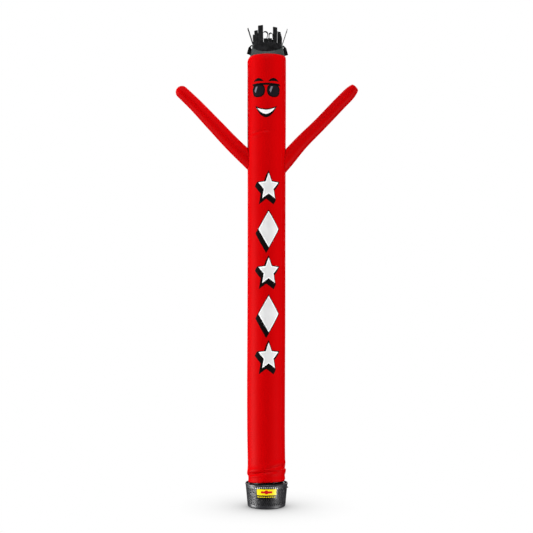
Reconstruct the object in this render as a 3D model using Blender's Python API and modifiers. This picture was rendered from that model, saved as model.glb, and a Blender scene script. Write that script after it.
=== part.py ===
"""Inflatable air dancer on its blower, as closed solids in metres.

A long tube of red nylon with two raised arms stands over the neck of a round
plastic blower. A black crown cap closes the top, inside a ring of ribbons for
hair. The origin is the middle of the blower's underside, +Z is up, the face
looks along -Y and the figure's arm on the viewer's left lies towards -X.
Azimuths are in degrees from the front (-Y), positive towards +X.
"""

import math

import bmesh
import bpy
from mathutils import Matrix, Vector

# Cloth
CLOTH = 0.002  # thickness of every sheet
SEAM_GAP = 0.0003  # between pieces that are sewn or seated together
SIDES = 44  # facets round the tube, the cap and the blower
ARM_SIDES = 18
ARM_RINGS = 12
ARM_HOLE_MARGIN = 0.004  # the hole is this much smaller all round than the arm
ARM_HOLE_RINGS = 4  # the plug that cuts it takes this many of the arm's rings
ROUND_END = (30, 55, 76)  # degrees of the rings on the left arm's rounded end
BLUNT_END = (50,)  # and on the right arm's
BLUNT_BULGE = 0.22  # depth of the blunt end in half widths
PATH_SHARES = 16  # fine steps between two rows of an arm's table

# Blower
HOUSING_HEIGHT = 0.280
RIM_RADIUS = 0.2490
RIM_BAND = 0.018
RIM_EDGE = 0.002
WALL_TOP_RADIUS = 0.2455
WALL_FOOT_RADIUS = 0.2235
WALL_FOOT_HEIGHT = 0.030
FOOT_RADIUS = 0.2060
HOUSING_WALL = 0.0045
HOUSING_LIFT = 0.003  # the tub hangs this far above the floor
BASE_RADIUS = 0.2010
BASE_THICKNESS = 0.012
DUCT_RADIUS = 0.1957
DUCT_WALL = 0.0025
DUCT_TOP = 0.345
DECK_HEIGHT = 0.2550
DECK_THICKNESS = 0.004
LEDGE_WIDTH = 0.005  # the housing's ledge that the deck lies on
LEDGE_DEPTH = 0.005
HEM_RADIUS = DUCT_RADIUS + 0.0008  # the hem's edge grips the duct
LIP_RADIUS = 0.2130
LIP_TOP = 0.2805
LIP_EDGE = 0.005
KNOB_RADIUS = 0.0085
KNOB_TAPER = 0.7
KNOB_LENGTH = 0.012
KNOB_EDGE = 0.0016

# Lattice of the housing: diamonds in staggered rows
LATTICE_COLUMNS = 23
LATTICE_ROWS = 5
LATTICE_LOW = 0.060
LATTICE_PITCH = 0.0385
LATTICE_TURN = 1.9  # degrees, so that no diamond's point lies on a facet's edge
DIAMOND_HALF_WIDTH = 0.0210
DIAMOND_HALF_HEIGHT = 0.0255
DIAMOND_REACH = (-0.014, 0.010)  # of the cutters, inside and outside of the wall's face

# Label panel on the front of the housing
LABEL_FACETS = 4  # it reaches over this many facets to each side
LABEL_CORNER = 0.018
LABEL_LOW = 0.122
LABEL_HIGH = 0.254
LABEL_THICKNESS = 0.0015
LABEL_STEPS = (0.0, 0.1, 0.4, 1.0)  # levels up a rounded corner, in corner radii

# Knobs, seated on the lip and on the housing's wall
KNOB_SEATS = (
    # name, azimuth, radius of the seat, height
    ("knob_upper", 76.0, LIP_RADIUS, 0.2675),
    ("knob_lower", 90.0, 0.2424, 0.2230),
)

# Sections of the tube where the folds slope: heights and radii at the left,
# front, right and back.
FOOT_SECTIONS = (
    # name, heights, radii
    ("hem edge", (0.2840, 0.3060, 0.3020, 0.2940), (HEM_RADIUS,) * 4),
    ("hem roll", (0.2865, 0.3080, 0.3040, 0.2965), (0.2075, 0.2065, 0.2070, 0.2065)),
    ("hem top", (0.2970, 0.3190, 0.3150, 0.3070), (0.2158, 0.2130, 0.2165, 0.2140)),
    ("low bulge", (0.3200, 0.3430, 0.3320, 0.3320), (0.2125, 0.2150, 0.2195, 0.2155)),
    ("low crease", (0.3380, 0.3720, 0.3620, 0.3560), (0.2125, 0.2160, 0.2150, 0.2150)),
    ("under the overhang", (0.3520, 0.4180, 0.3920, 0.3840), (0.2160, 0.2165, 0.2230, 0.2165)),
    ("main crease", (0.3620, 0.4330, 0.4160, 0.4020), (0.2200, 0.2160, 0.2272, 0.2170)),
    ("overhang", (0.3760, 0.4450, 0.4320, 0.4160), (0.2285, 0.2225, 0.2262, 0.2210)),
    ("ridge", (0.3940, 0.4580, 0.4420, 0.4320), (0.2272, 0.2228, 0.2205, 0.2205)),
    ("upper crease", (0.4140, 0.4710, 0.4520, 0.4480), (0.2245, 0.2190, 0.2150, 0.2180)),
    ("upper lip", (0.4380, 0.4850, 0.4650, 0.4660), (0.2236, 0.2225, 0.2195, 0.2205)),
    ("upper bulge", (0.4640, 0.5020, 0.4830, 0.4900), (0.2226, 0.2225, 0.2226, 0.2210)),
    ("fade out", (0.5050, 0.5300, 0.5150, 0.5200), (0.2212, 0.2205, 0.2200, 0.2200)),
)
# Level sections of the tube from the shin to the shoulder: a trough is how much
# the front is drawn in.
TUBE_LEVELS = (
    # name, height, left radius, right radius, trough
    ("ankle", 0.600, 0.2225, 0.2195, 0.000),
    ("shin", 0.899, 0.2274, 0.2173, 0.000),
    ("knee", 1.420, 0.2292, 0.2190, 0.000),
    ("hip", 2.200, 0.2262, 0.2233, 0.000),
    ("waist", 2.950, 0.2245, 0.2245, 0.000),
    ("under the arms", 3.800, 0.2242, 0.2265, 0.000),
    ("over the arms", 4.340, 0.2262, 0.2288, 0.000),
    ("throat", 4.412, 0.2268, 0.2296, 0.000),
    ("neck crease", 4.440, 0.2258, 0.2286, 0.0065),
    ("chin", 4.468, 0.2266, 0.2296, 0.0015),
    ("cheek", 4.560, 0.2268, 0.2302, 0.000),
    ("brow", 5.040, 0.2266, 0.2322, 0.000),
    ("shoulder", 5.235, 0.2270, 0.2320, 0.000),
    ("shoulder bend", 5.264, 0.2232, 0.2308, 0.000),
    ("shoulder slope", 5.288, 0.2130, 0.2290, 0.000),
    ("crown seam", 5.303, 0.2005, 0.2245, 0.000),
)

# Crown cap, from the skirt tucked inside the seam to the edge of the vent
CAP_SHIFT = 0.012  # the crown leans this far to the right of the tube
CAP_SECTIONS = (
    # name, height, radius
    ("skirt", 5.286, 0.2100),
    ("seam", 5.304, 0.2100),
    ("cone", 5.375, 0.1935),
    ("cap edge", 5.440, 0.1780),
    ("cap top", 5.452, 0.1630),
    ("vent edge", 5.456, 0.1000),
)

# Band that the ribbons are sewn to, and the ribbons
BAND_LIFT = 0.0029  # of its outside off the cap
BAND_LOW = (5.425, 5.333, 5.425, 5.398)  # at the left, front, right and back
BAND_TOP = 5.446  # just above the cap's edge, so that the ribbons are free of it
RIBBON_COLUMNS = 3
RIBBON_STEPS = 9
TWIST_STEPS = 3  # a ribbon's twist is over by this step
CROSS_CURL = 0.004  # the edges of a ribbon stand this far behind its middle
RIBBONS = (
    # azimuth, width, length, lean out, twist, sideways swing, bend, its start and its end
    (-3.0, 0.050, 0.045, 1.0, 0.0, 0.0, 0.0, 0.20, 1.00),
    (13.6, 0.050, 0.047, 1.0, 0.0, 0.0, 0.0, 0.20, 1.00),
    (-23.4, 0.066, 0.204, 2.0, -2.0, 1.0, -4.0, 0.20, 1.00),
    (33.0, 0.062, 0.184, 2.0, 2.0, -1.0, -4.0, 0.20, 1.00),
    (-44.5, 0.054, 0.152, 4.0, 4.0, 2.0, -4.0, 0.20, 1.00),
    (52.6, 0.058, 0.137, 4.0, -4.0, 1.0, -4.0, 0.20, 1.00),
    (-62.5, 0.048, 0.112, 5.0, -12.0, 0.0, -14.0, 0.30, 1.00),
    (70.5, 0.048, 0.104, 5.0, 6.0, 0.0, -14.0, 0.30, 1.00),
    (-79.0, 0.052, 0.206, 18.0, 0.0, 0.0, 0.0, 0.00, 1.00),
    (86.5, 0.048, 0.202, 18.0, 0.0, 0.0, 0.0, 0.00, 1.00),
    (-97.0, 0.052, 0.120, 75.0, 50.0, 0.0, 90.0, 0.00, 0.25),
    (103.5, 0.054, 0.128, 75.0, -50.0, 0.0, 90.0, 0.00, 0.25),
    (-115.0, 0.052, 0.150, 6.0, 12.0, -6.0, -12.0, 0.30, 1.00),
    (123.0, 0.056, 0.160, 6.0, -12.0, 6.0, -12.0, 0.30, 1.00),
    (-133.5, 0.056, 0.190, 4.0, 10.0, 4.0, -8.0, 0.30, 1.00),
    (147.5, 0.068, 0.118, 4.0, -10.0, -4.0, -8.0, 0.30, 1.00),
    (-152.0, 0.054, 0.114, 2.0, 6.0, 0.0, -4.0, 0.30, 1.00),
    (-170.4, 0.050, 0.355, 2.0, 90.0, 13.0, 189.0, 0.52, 0.78),
    (170.4, 0.050, 0.328, 2.0, 90.0, -2.0, -175.0, 0.55, 0.79),
)

# Centre lines of the arms, from inside the tube outwards
LEFT_ARM = (
    # name, x, z, half width seen from the front, half depth
    ("inside", -0.100, 3.975, 0.0945, 0.0945),
    ("root", -0.226, 4.097, 0.0940, 0.0940),
    ("upper arm", -0.401, 4.267, 0.0915, 0.0915),
    ("elbow", -0.631, 4.510, 0.0860, 0.0860),
    ("forearm", -0.856, 4.747, 0.0785, 0.0790),
    ("wrist", -1.004, 4.889, 0.0750, 0.0760),
)
RIGHT_ARM = (
    ("inside", 0.100, 3.922, 0.0930, 0.0930),
    ("root", 0.2285, 4.072, 0.0920, 0.0920),
    ("upper arm", 0.401, 4.273, 0.0840, 0.0860),
    ("elbow", 0.643, 4.515, 0.0780, 0.0800),
    ("forearm", 0.868, 4.751, 0.0770, 0.0790),
    ("wrist", 0.968, 4.853, 0.0755, 0.0830),
    ("narrowing", 1.022, 4.911, 0.0630, 0.0960),
    ("sewn end", 1.047, 4.938, 0.0480, 0.1040),
)


def new_collection(name, hidden=False):
    collection = bpy.data.collections.new(name)
    bpy.context.scene.collection.children.link(collection)
    collection.hide_render = hidden
    return collection


def material(name, colour, roughness, metallic=0.0):
    made = bpy.data.materials.new(name)
    made.use_nodes = True
    made.diffuse_color = (*colour, 1.0)
    shader = made.node_tree.nodes["Principled BSDF"]
    shader.inputs["Base Color"].default_value = (*colour, 1.0)
    shader.inputs["Roughness"].default_value = roughness
    shader.inputs["Metallic"].default_value = metallic
    return made


def new_object(name, mesh, collection, finish=None):
    made = bpy.data.objects.new(name, mesh)
    collection.objects.link(made)
    if finish:
        mesh.materials.append(finish)
    return made


def cutter(name, mesh, cutters):
    made = new_object(name, mesh, cutters)
    made.hide_render = True
    made.display_type = "WIRE"
    return made


def mesh_from(name, shape, smooth_angle=40.0, turn_out=True):
    """A mesh from a bmesh, with its faces turned outwards unless they already are."""
    if turn_out:
        bmesh.ops.recalc_face_normals(shape, faces=shape.faces)
    mesh = bpy.data.meshes.new(name)
    shape.to_mesh(mesh)
    shape.free()
    mesh.shade_smooth()
    mesh.set_sharp_from_angle(angle=math.radians(smooth_angle))
    return mesh


def sheet(made, thickness=CLOTH, even=True):
    """Gives an open surface its thickness, inwards, evenly where it has no sharp folds."""
    modifier = made.modifiers.new("Sheet", "SOLIDIFY")
    modifier.thickness = thickness
    modifier.offset = -1.0
    modifier.use_even_offset = even
    return made


def cut(made, tool, name):
    modifier = made.modifiers.new(name, "BOOLEAN")
    modifier.operation = "DIFFERENCE"
    modifier.solver = "EXACT"
    modifier.object = tool


def around(azimuth, left, front, right, back):
    """A value that runs smoothly round the tube through its four sides."""
    mean = (left + front + right + back) / 4
    second = (front + back - left - right) / 4
    return (
        mean
        + (right - left) / 2 * math.sin(azimuth)
        + (front - back) / 2 * math.cos(azimuth)
        + second * math.cos(2 * azimuth)
    )


def on_ring(azimuth, radius, height):
    return Vector((radius * math.sin(azimuth), -radius * math.cos(azimuth), height))


def section_ring(heights, radii, sides=SIDES, grow=0.0):
    azimuths = [math.tau * k / sides for k in range(sides)]
    return [on_ring(a, around(a, *radii) + grow, around(a, *heights)) for a in azimuths]


def level_ring(height, left, right, trough=0.0, grow=0.0):
    middle = (left + right) / 2
    return section_ring((height,) * 4, (left, middle - trough, right, middle), grow=grow)


def tube_rings(grow=0.0):
    rings = [section_ring(heights, radii, grow=grow) for _, heights, radii in FOOT_SECTIONS]
    rings += [level_ring(z, left, right, trough, grow) for _, z, left, right, trough in TUBE_LEVELS]
    return rings


def loft(rings, close_start=False, close_end=False):
    """A skin through rings of points, each ring joined to the next."""
    shape = bmesh.new()
    loops = [[shape.verts.new(point) for point in ring] for ring in rings]
    for lower, upper in zip(loops, loops[1:]):
        for k in range(len(lower)):
            after = (k + 1) % len(lower)
            shape.faces.new((lower[k], lower[after], upper[after], upper[k]))
    if close_start:
        shape.faces.new(loops[0])
    if close_end:
        shape.faces.new(loops[-1])
    return shape


def smooth_path(rows, count):
    """Sections evenly spaced on a smooth curve through an arm's rows."""
    values = [Vector((x, z, wide, deep)) for _, x, z, wide, deep in rows]
    ends = [2 * values[0] - values[1], *values, 2 * values[-1] - values[-2]]
    fine = []
    for a, b, c, d in zip(ends, ends[1:], ends[2:], ends[3:]):
        for k in range(PATH_SHARES):
            t = k / PATH_SHARES
            fine.append(
                0.5
                * (
                    2 * b
                    + (c - a) * t
                    + (2 * a - 5 * b + 4 * c - d) * t**2
                    + (3 * b - a - 3 * c + d) * t**3
                )
            )
    fine.append(values[-1])
    walked = [0.0]
    for before, after in zip(fine, fine[1:]):
        walked.append(walked[-1] + (after.xy - before.xy).length)
    sections = []
    for k in range(count):
        target = walked[-1] * k / (count - 1)
        at = max(1, next(n for n, w in enumerate(walked) if w >= target - 1e-9))
        share = (target - walked[at - 1]) / (walked[at] - walked[at - 1])
        sections.append(fine[at - 1].lerp(fine[at], share))
    return sections


def arm_sections(rows, rounded):
    """(x, z, half width, half depth) from the root to the closed end."""
    sections = smooth_path(rows, ARM_RINGS)
    last = sections[-1]
    along = (last.xy - sections[-2].xy).normalized()
    bulge = 1.0 if rounded else BLUNT_BULGE
    for degrees in ROUND_END if rounded else BLUNT_END:
        turn = math.radians(degrees)
        centre = last.xy + along * (last.z * bulge * math.sin(turn))
        size = math.cos(turn)
        sections.append(Vector((*centre, last.z * size, last.w * size)))
    return sections


def arm_rings(sections, shrink=0.0):
    """Round sections square to the arm's centre line."""
    rings = []
    for k, section in enumerate(sections):
        before = sections[max(k - 1, 0)]
        after = sections[min(k + 1, len(sections) - 1)]
        along = (after.xy - before.xy).normalized()
        side = Vector((-along.y, 0.0, along.x))
        centre = Vector((section.x, 0.0, section.y))
        ring = []
        for n in range(ARM_SIDES):
            turn = math.tau * n / ARM_SIDES
            across = side * (section.z - shrink) * math.cos(turn)
            deep = Vector((0.0, section.w - shrink, 0.0)) * math.sin(turn)
            ring.append(centre + across + deep)
        rings.append(ring)
    return rings


def make_arm(name, rows, rounded, tube_core, parts, cutters, finish):
    """An arm trimmed to the tube's outside, and the plug that cuts its hole."""
    sections = arm_sections(rows, rounded)
    skin = loft(arm_rings(sections), close_end=True)
    arm = sheet(new_object(name, mesh_from(name, skin), parts, finish))
    cut(arm, tube_core, "Trim to the tube")
    hole = arm_rings(sections[:ARM_HOLE_RINGS], ARM_HOLE_MARGIN)
    plug = loft(hole, close_start=True, close_end=True)
    return arm, cutter(f"{name}_hole", mesh_from(f"{name}_hole", plug), cutters)


def cap_radius(height):
    """Radius of the cap's cone at a height."""
    names = {name: (z, radius) for name, z, radius in CAP_SECTIONS}
    low, high = names["seam"], names["cap edge"]
    share = (height - low[0]) / (high[0] - low[0])
    return low[1] + share * (high[1] - low[1])


def make_cap(parts, finish):
    rings = [level_ring(z, r - CAP_SHIFT, r + CAP_SHIFT) for _, z, r in CAP_SECTIONS]
    mesh = mesh_from("crown_cap", loft(rings), smooth_angle=30.0)
    return sheet(new_object("crown_cap", mesh, parts, finish))


def ribbon_rows(root, row):
    """Cross-sections of one ribbon above its root edge, each from side to side."""
    azimuth, width, length, lean, twist, swing, bend, bend_from, bend_to = row
    turn = math.radians(azimuth)
    along = Vector((0.0, 0.0, 1.0))
    wide = Vector((math.cos(turn), math.sin(turn), 0.0))
    out = Vector((math.sin(turn), -math.cos(turn), 0.0))
    frame = [along, wide, out]

    def turn_frame(degrees, about):
        rotation = Matrix.Rotation(math.radians(degrees), 3, frame[about])
        frame[:] = [rotation @ axis for axis in frame]

    turn_frame(lean, 1)
    turn_frame(swing, 2)
    shares = [(step + 1) / RIBBON_STEPS for step in range(RIBBON_STEPS)]
    bending = [bend_from < share <= bend_to for share in shares]
    across = [2 * n / RIBBON_COLUMNS - 1 for n in range(RIBBON_COLUMNS + 1)]
    centre = sum(root, Vector()) / len(root)
    rows = []
    for step in range(RIBBON_STEPS):
        if step < TWIST_STEPS:
            turn_frame(twist / TWIST_STEPS, 0)
        if bending[step]:
            turn_frame(bend / sum(bending), 1)
        centre = centre + frame[0] * (length / RIBBON_STEPS)
        side, behind = frame[1] * (width / 2), frame[2] * -CROSS_CURL
        rows.append([centre + side * a + behind * a * a for a in across])
    return rows


def make_hair(parts, finish):
    """The band and its ribbons as one surface, then given its thickness."""
    shape = bmesh.new()
    ribbons = sorted(RIBBONS)
    rim = cap_radius(BAND_TOP) + BAND_LIFT
    columns = []
    for row in ribbons:
        for n in range(RIBBON_COLUMNS + 1):
            spread = row[1] / 2 / rim * (2 * n / RIBBON_COLUMNS - 1)
            columns.append(math.radians(row[0]) + spread)
    low, top = [], []
    for azimuth in columns:
        foot = around(azimuth, *BAND_LOW)
        shift = CAP_SHIFT * math.sin(azimuth)
        low.append(shape.verts.new(on_ring(azimuth, cap_radius(foot) + BAND_LIFT + shift, foot)))
        top.append(shape.verts.new(on_ring(azimuth, rim + shift, BAND_TOP)))
    for k in range(len(columns)):
        after = (k + 1) % len(columns)
        shape.faces.new((low[k], low[after], top[after], top[k]))
    for number, row in enumerate(ribbons):
        first = number * (RIBBON_COLUMNS + 1)
        lower = top[first : first + RIBBON_COLUMNS + 1]
        for points in ribbon_rows([vert.co for vert in lower], row):
            upper = [shape.verts.new(point) for point in points]
            for k in range(RIBBON_COLUMNS):
                shape.faces.new((lower[k], lower[k + 1], upper[k + 1], upper[k]))
            lower = upper
    mesh = mesh_from("hair", shape, smooth_angle=60.0, turn_out=False)
    return sheet(new_object("hair", mesh, parts, finish), even=False)


def turned(name, profile, steps, parts, finish):
    """A closed profile of (radius, height) points turned round Z. Its outside runs down."""
    mesh = bpy.data.meshes.new(name)
    count = len(profile)
    edges = [(k, (k + 1) % count) for k in range(count)]
    mesh.from_pydata([(radius, 0.0, height) for radius, height in profile], edges, [])
    made = new_object(name, mesh, parts, finish)
    screw = made.modifiers.new("Turn", "SCREW")
    screw.steps = screw.render_steps = steps
    screw.use_merge_vertices = True
    screw.merge_threshold = 0.00001
    screw.use_smooth_shade = True
    return made


def wall_radius(height):
    """Outside radius of the housing's wall under its rim band."""
    top = HOUSING_HEIGHT - RIM_BAND
    share = (height - WALL_FOOT_HEIGHT) / (top - WALL_FOOT_HEIGHT)
    return WALL_FOOT_RADIUS + share * (WALL_TOP_RADIUS - WALL_FOOT_RADIUS)


def behind_label(azimuth, height):
    turned_in = (azimuth + 180.0) % 360.0 - 180.0
    covered = abs(turned_in) < 360.0 / SIDES * LABEL_FACETS
    return covered and LABEL_LOW < height < LABEL_HIGH


def lattice_cutter(cutters):
    """Diamond prisms through the wall, in staggered rows, none behind the label."""
    shape = bmesh.new()
    corners = ((1, 0), (0, 1), (-1, 0), (0, -1))
    for line in range(LATTICE_ROWS):
        height = LATTICE_LOW + line * LATTICE_PITCH
        for column in range(LATTICE_COLUMNS):
            degrees = LATTICE_TURN + 360.0 * (column + 0.5 * (line % 2)) / LATTICE_COLUMNS
            if behind_label(degrees, height):
                continue
            turn = math.radians(degrees)
            side = Vector((math.cos(turn), math.sin(turn), 0.0))
            rings = []
            for depth in DIAMOND_REACH:
                middle = on_ring(turn, wall_radius(height) + depth, height)
                rise = Vector((0.0, 0.0, DIAMOND_HALF_HEIGHT))
                wide = side * DIAMOND_HALF_WIDTH
                rings.append([shape.verts.new(middle + a * wide + b * rise) for a, b in corners])
            inner, outer = rings
            for k in range(4):
                after = (k + 1) % 4
                shape.faces.new((inner[k], inner[after], outer[after], outer[k]))
            shape.faces.new(inner)
            shape.faces.new(outer)
    return cutter("lattice_holes", mesh_from("lattice_holes", shape), cutters)


def make_housing(parts, cutters, finish):
    rim_foot = HOUSING_HEIGHT - RIM_BAND
    inside_top = WALL_TOP_RADIUS - HOUSING_WALL
    ledge_foot = DECK_HEIGHT - 2 * LEDGE_DEPTH
    profile = (
        (RIM_RADIUS - RIM_EDGE, HOUSING_HEIGHT),
        (RIM_RADIUS, HOUSING_HEIGHT - RIM_EDGE),
        (RIM_RADIUS, rim_foot + RIM_EDGE),
        (WALL_TOP_RADIUS, rim_foot),
        (WALL_FOOT_RADIUS, WALL_FOOT_HEIGHT),
        (FOOT_RADIUS, HOUSING_LIFT),
        (BASE_RADIUS + SEAM_GAP, HOUSING_LIFT),
        (WALL_FOOT_RADIUS - HOUSING_WALL, WALL_FOOT_HEIGHT + RIM_EDGE),
        (wall_radius(ledge_foot) - HOUSING_WALL, ledge_foot),
        (inside_top - LEDGE_WIDTH, DECK_HEIGHT - LEDGE_DEPTH),
        (inside_top - LEDGE_WIDTH, DECK_HEIGHT - SEAM_GAP),
        (inside_top, DECK_HEIGHT - SEAM_GAP),
        (inside_top, HOUSING_HEIGHT),
    )
    housing = turned("blower_housing", profile, SIDES, parts, finish)
    cut(housing, lattice_cutter(cutters), "Cut the lattice")
    return housing


def on_facet(azimuth, radius, height):
    """A point on the flat facets of the turned wall, not on the round between them."""
    facet = math.tau / SIDES
    off_middle = azimuth % facet - facet / 2
    flat = radius * math.cos(facet / 2) / math.cos(off_middle)
    return on_ring(azimuth, flat, height)


def make_label(parts, finish):
    """A thin panel with rounded corners that follows the facets of the wall."""
    facet = math.tau / SIDES
    steps = (LABEL_CORNER * share for share in LABEL_STEPS)
    levels = [LABEL_LOW + step for step in steps]
    levels += [LABEL_LOW + LABEL_HIGH - z for z in reversed(levels)]
    inner = [facet * k for k in range(1 - LABEL_FACETS, LABEL_FACETS)]
    shape = bmesh.new()
    lines = []
    for z in levels:
        near = min(z - LABEL_LOW, LABEL_HIGH - z, LABEL_CORNER)
        inset = LABEL_CORNER - math.sqrt(LABEL_CORNER**2 - (LABEL_CORNER - near) ** 2)
        reach = facet * LABEL_FACETS - inset / wall_radius(z)
        lift = wall_radius(z) + SEAM_GAP + LABEL_THICKNESS
        azimuths = [-reach, *inner, reach]
        lines.append([shape.verts.new(on_facet(a, lift, z)) for a in azimuths])
    for lower, upper in zip(lines, lines[1:]):
        for k in range(len(lower) - 1):
            shape.faces.new((lower[k], lower[k + 1], upper[k + 1], upper[k]))
    made = new_object("label_panel", mesh_from("label_panel", shape), parts, finish)
    return sheet(made, LABEL_THICKNESS)


def make_knob(name, azimuth, seat_radius, height, parts, finish):
    """A round knob that stands out of a wall, its back at the seat."""
    shape = bmesh.new()
    bmesh.ops.create_cone(
        shape,
        cap_ends=True,
        segments=12,
        radius1=KNOB_RADIUS * KNOB_TAPER,
        radius2=KNOB_RADIUS,
        depth=KNOB_LENGTH,
        matrix=Matrix.Translation((0.0, 0.0, KNOB_LENGTH / 2)),
    )
    made = new_object(name, mesh_from(name, shape), parts, finish)
    made.location = on_ring(math.radians(azimuth), seat_radius + SEAM_GAP, height)
    made.rotation_euler = (math.radians(90.0), 0.0, math.radians(azimuth))
    bevel = made.modifiers.new("Round the face", "BEVEL")
    bevel.width = KNOB_EDGE
    bevel.segments = 2
    return made


def clear_scene():
    for old in list(bpy.data.objects):
        bpy.data.objects.remove(old, do_unlink=True)


def make_dancer(parts, cutters):
    red = material("red nylon", (0.62, 0.005, 0.008), 0.55)
    black = material("black nylon", (0.016, 0.018, 0.018), 0.60)
    core = cutter(
        "tube_core",
        mesh_from("tube_core", loft(tube_rings(SEAM_GAP), close_start=True, close_end=True)),
        cutters,
    )
    body = sheet(new_object("body_tube", mesh_from("body_tube", loft(tube_rings())), parts, red))
    arms = (("arm_left", LEFT_ARM, True), ("arm_right", RIGHT_ARM, False))
    for name, rows, rounded in arms:
        _, plug = make_arm(name, rows, rounded, core, parts, cutters, red)
        cut(body, plug, f"Hole for {name}")
    make_cap(parts, black)
    make_hair(parts, black)


def make_blower(parts, cutters):
    plastic = material("black plastic", (0.022, 0.022, 0.025), 0.45)
    steel = material("black painted steel", (0.010, 0.010, 0.011), 0.50)
    film = material("label film", (0.012, 0.012, 0.016), 0.35)
    make_housing(parts, cutters, plastic)
    base = (
        (BASE_RADIUS, BASE_THICKNESS),
        (BASE_RADIUS, 0.0),
        (0.0, 0.0),
        (0.0, BASE_THICKNESS),
    )
    turned("blower_base", base, SIDES, parts, steel)
    duct_foot = BASE_THICKNESS + SEAM_GAP
    duct = (
        (DUCT_RADIUS, DUCT_TOP),
        (DUCT_RADIUS, duct_foot),
        (DUCT_RADIUS - DUCT_WALL, duct_foot),
        (DUCT_RADIUS - DUCT_WALL, DUCT_TOP),
    )
    turned("blower_duct", duct, SIDES, parts, steel)
    deck_top = DECK_HEIGHT + DECK_THICKNESS
    deck_edge = WALL_TOP_RADIUS - HOUSING_WALL - 2 * SEAM_GAP
    deck_hole = DUCT_RADIUS + SEAM_GAP
    deck = (
        (deck_edge, deck_top),
        (deck_edge, DECK_HEIGHT),
        (deck_hole, DECK_HEIGHT),
        (deck_hole, deck_top),
    )
    turned("blower_deck", deck, SIDES, parts, plastic)
    lip_foot = deck_top + SEAM_GAP
    lip = (
        (LIP_RADIUS - LIP_EDGE, LIP_TOP),
        (LIP_RADIUS, LIP_TOP - LIP_EDGE),
        (LIP_RADIUS, lip_foot),
        (deck_hole, lip_foot),
        (deck_hole, LIP_TOP),
    )
    turned("outlet_lip", lip, SIDES, parts, plastic)
    make_label(parts, film)
    for name, azimuth, seat_radius, height in KNOB_SEATS:
        make_knob(name, azimuth, seat_radius, height, parts, plastic)


def main():
    clear_scene()
    parts = new_collection("inflatable air dancer")
    cutters = new_collection("cutters", hidden=True)
    make_dancer(parts, cutters)
    make_blower(parts, cutters)


main()
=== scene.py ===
import math

import bmesh
import bpy
from bpy.props import FloatProperty, FloatVectorProperty, IntProperty, PointerProperty
from mathutils import Matrix, Vector
from mathutils.geometry import delaunay_2d_cdt


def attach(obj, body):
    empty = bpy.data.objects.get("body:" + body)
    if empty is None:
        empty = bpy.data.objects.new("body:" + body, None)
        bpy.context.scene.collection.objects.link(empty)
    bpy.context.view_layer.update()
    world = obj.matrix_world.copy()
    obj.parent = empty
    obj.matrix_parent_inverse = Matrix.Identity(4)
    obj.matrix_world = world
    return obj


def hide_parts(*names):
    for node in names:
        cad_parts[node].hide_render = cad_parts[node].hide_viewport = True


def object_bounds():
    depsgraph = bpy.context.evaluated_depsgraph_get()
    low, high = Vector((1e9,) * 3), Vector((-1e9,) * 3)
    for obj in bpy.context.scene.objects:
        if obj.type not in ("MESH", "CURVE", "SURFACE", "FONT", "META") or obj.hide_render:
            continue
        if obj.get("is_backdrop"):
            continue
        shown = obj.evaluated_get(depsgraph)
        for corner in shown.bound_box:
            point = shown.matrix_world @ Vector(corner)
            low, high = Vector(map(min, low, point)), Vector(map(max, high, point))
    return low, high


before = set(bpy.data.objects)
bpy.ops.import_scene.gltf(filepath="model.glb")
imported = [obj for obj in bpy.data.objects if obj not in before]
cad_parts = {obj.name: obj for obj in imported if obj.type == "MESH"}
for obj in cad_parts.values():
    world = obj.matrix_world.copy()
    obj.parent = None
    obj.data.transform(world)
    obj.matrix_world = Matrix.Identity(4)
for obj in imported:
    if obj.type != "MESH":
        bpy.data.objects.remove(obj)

bl_info = {
    "name": "Inflatable air dancer",
    "version": (1, 0, 0),
    "blender": (4, 5, 0),
    "location": "3D View > Sidebar > Air dancer",
    "description": "Sews, prints and sets up an inflatable tube figure on its floor blower",
    "category": "Object",
}

CAD_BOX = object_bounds()

# All sizes are in metres, all azimuths in degrees from the front (-Y) towards +X.

# ---------------------------------------------------------------- sizes: the tube
# Sections where the folds slope: heights and radii at the left, front, right, back.
HEM_RADIUS = 0.1965
FOOT_SECTIONS = (
    # heights, radii
    ((0.2840, 0.3060, 0.3020, 0.2940), (HEM_RADIUS,) * 4),
    ((0.2865, 0.3080, 0.3040, 0.2965), (0.2075, 0.2065, 0.2070, 0.2065)),
    ((0.2970, 0.3190, 0.3150, 0.3070), (0.2158, 0.2130, 0.2165, 0.2140)),
    ((0.3200, 0.3430, 0.3320, 0.3320), (0.2125, 0.2150, 0.2195, 0.2155)),
    ((0.3380, 0.3720, 0.3620, 0.3560), (0.2125, 0.2160, 0.2150, 0.2150)),
    ((0.3520, 0.4180, 0.3920, 0.3840), (0.2160, 0.2165, 0.2230, 0.2165)),
    ((0.3620, 0.4330, 0.4160, 0.4020), (0.2200, 0.2160, 0.2272, 0.2170)),
    ((0.3760, 0.4450, 0.4320, 0.4160), (0.2285, 0.2225, 0.2262, 0.2210)),
    ((0.3940, 0.4580, 0.4420, 0.4320), (0.2272, 0.2228, 0.2205, 0.2205)),
    ((0.4140, 0.4710, 0.4520, 0.4480), (0.2245, 0.2190, 0.2150, 0.2180)),
    ((0.4380, 0.4850, 0.4650, 0.4660), (0.2236, 0.2225, 0.2195, 0.2205)),
    ((0.4640, 0.5020, 0.4830, 0.4900), (0.2226, 0.2225, 0.2226, 0.2210)),
    ((0.5050, 0.5300, 0.5150, 0.5200), (0.2212, 0.2205, 0.2200, 0.2200)),
)
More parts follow.
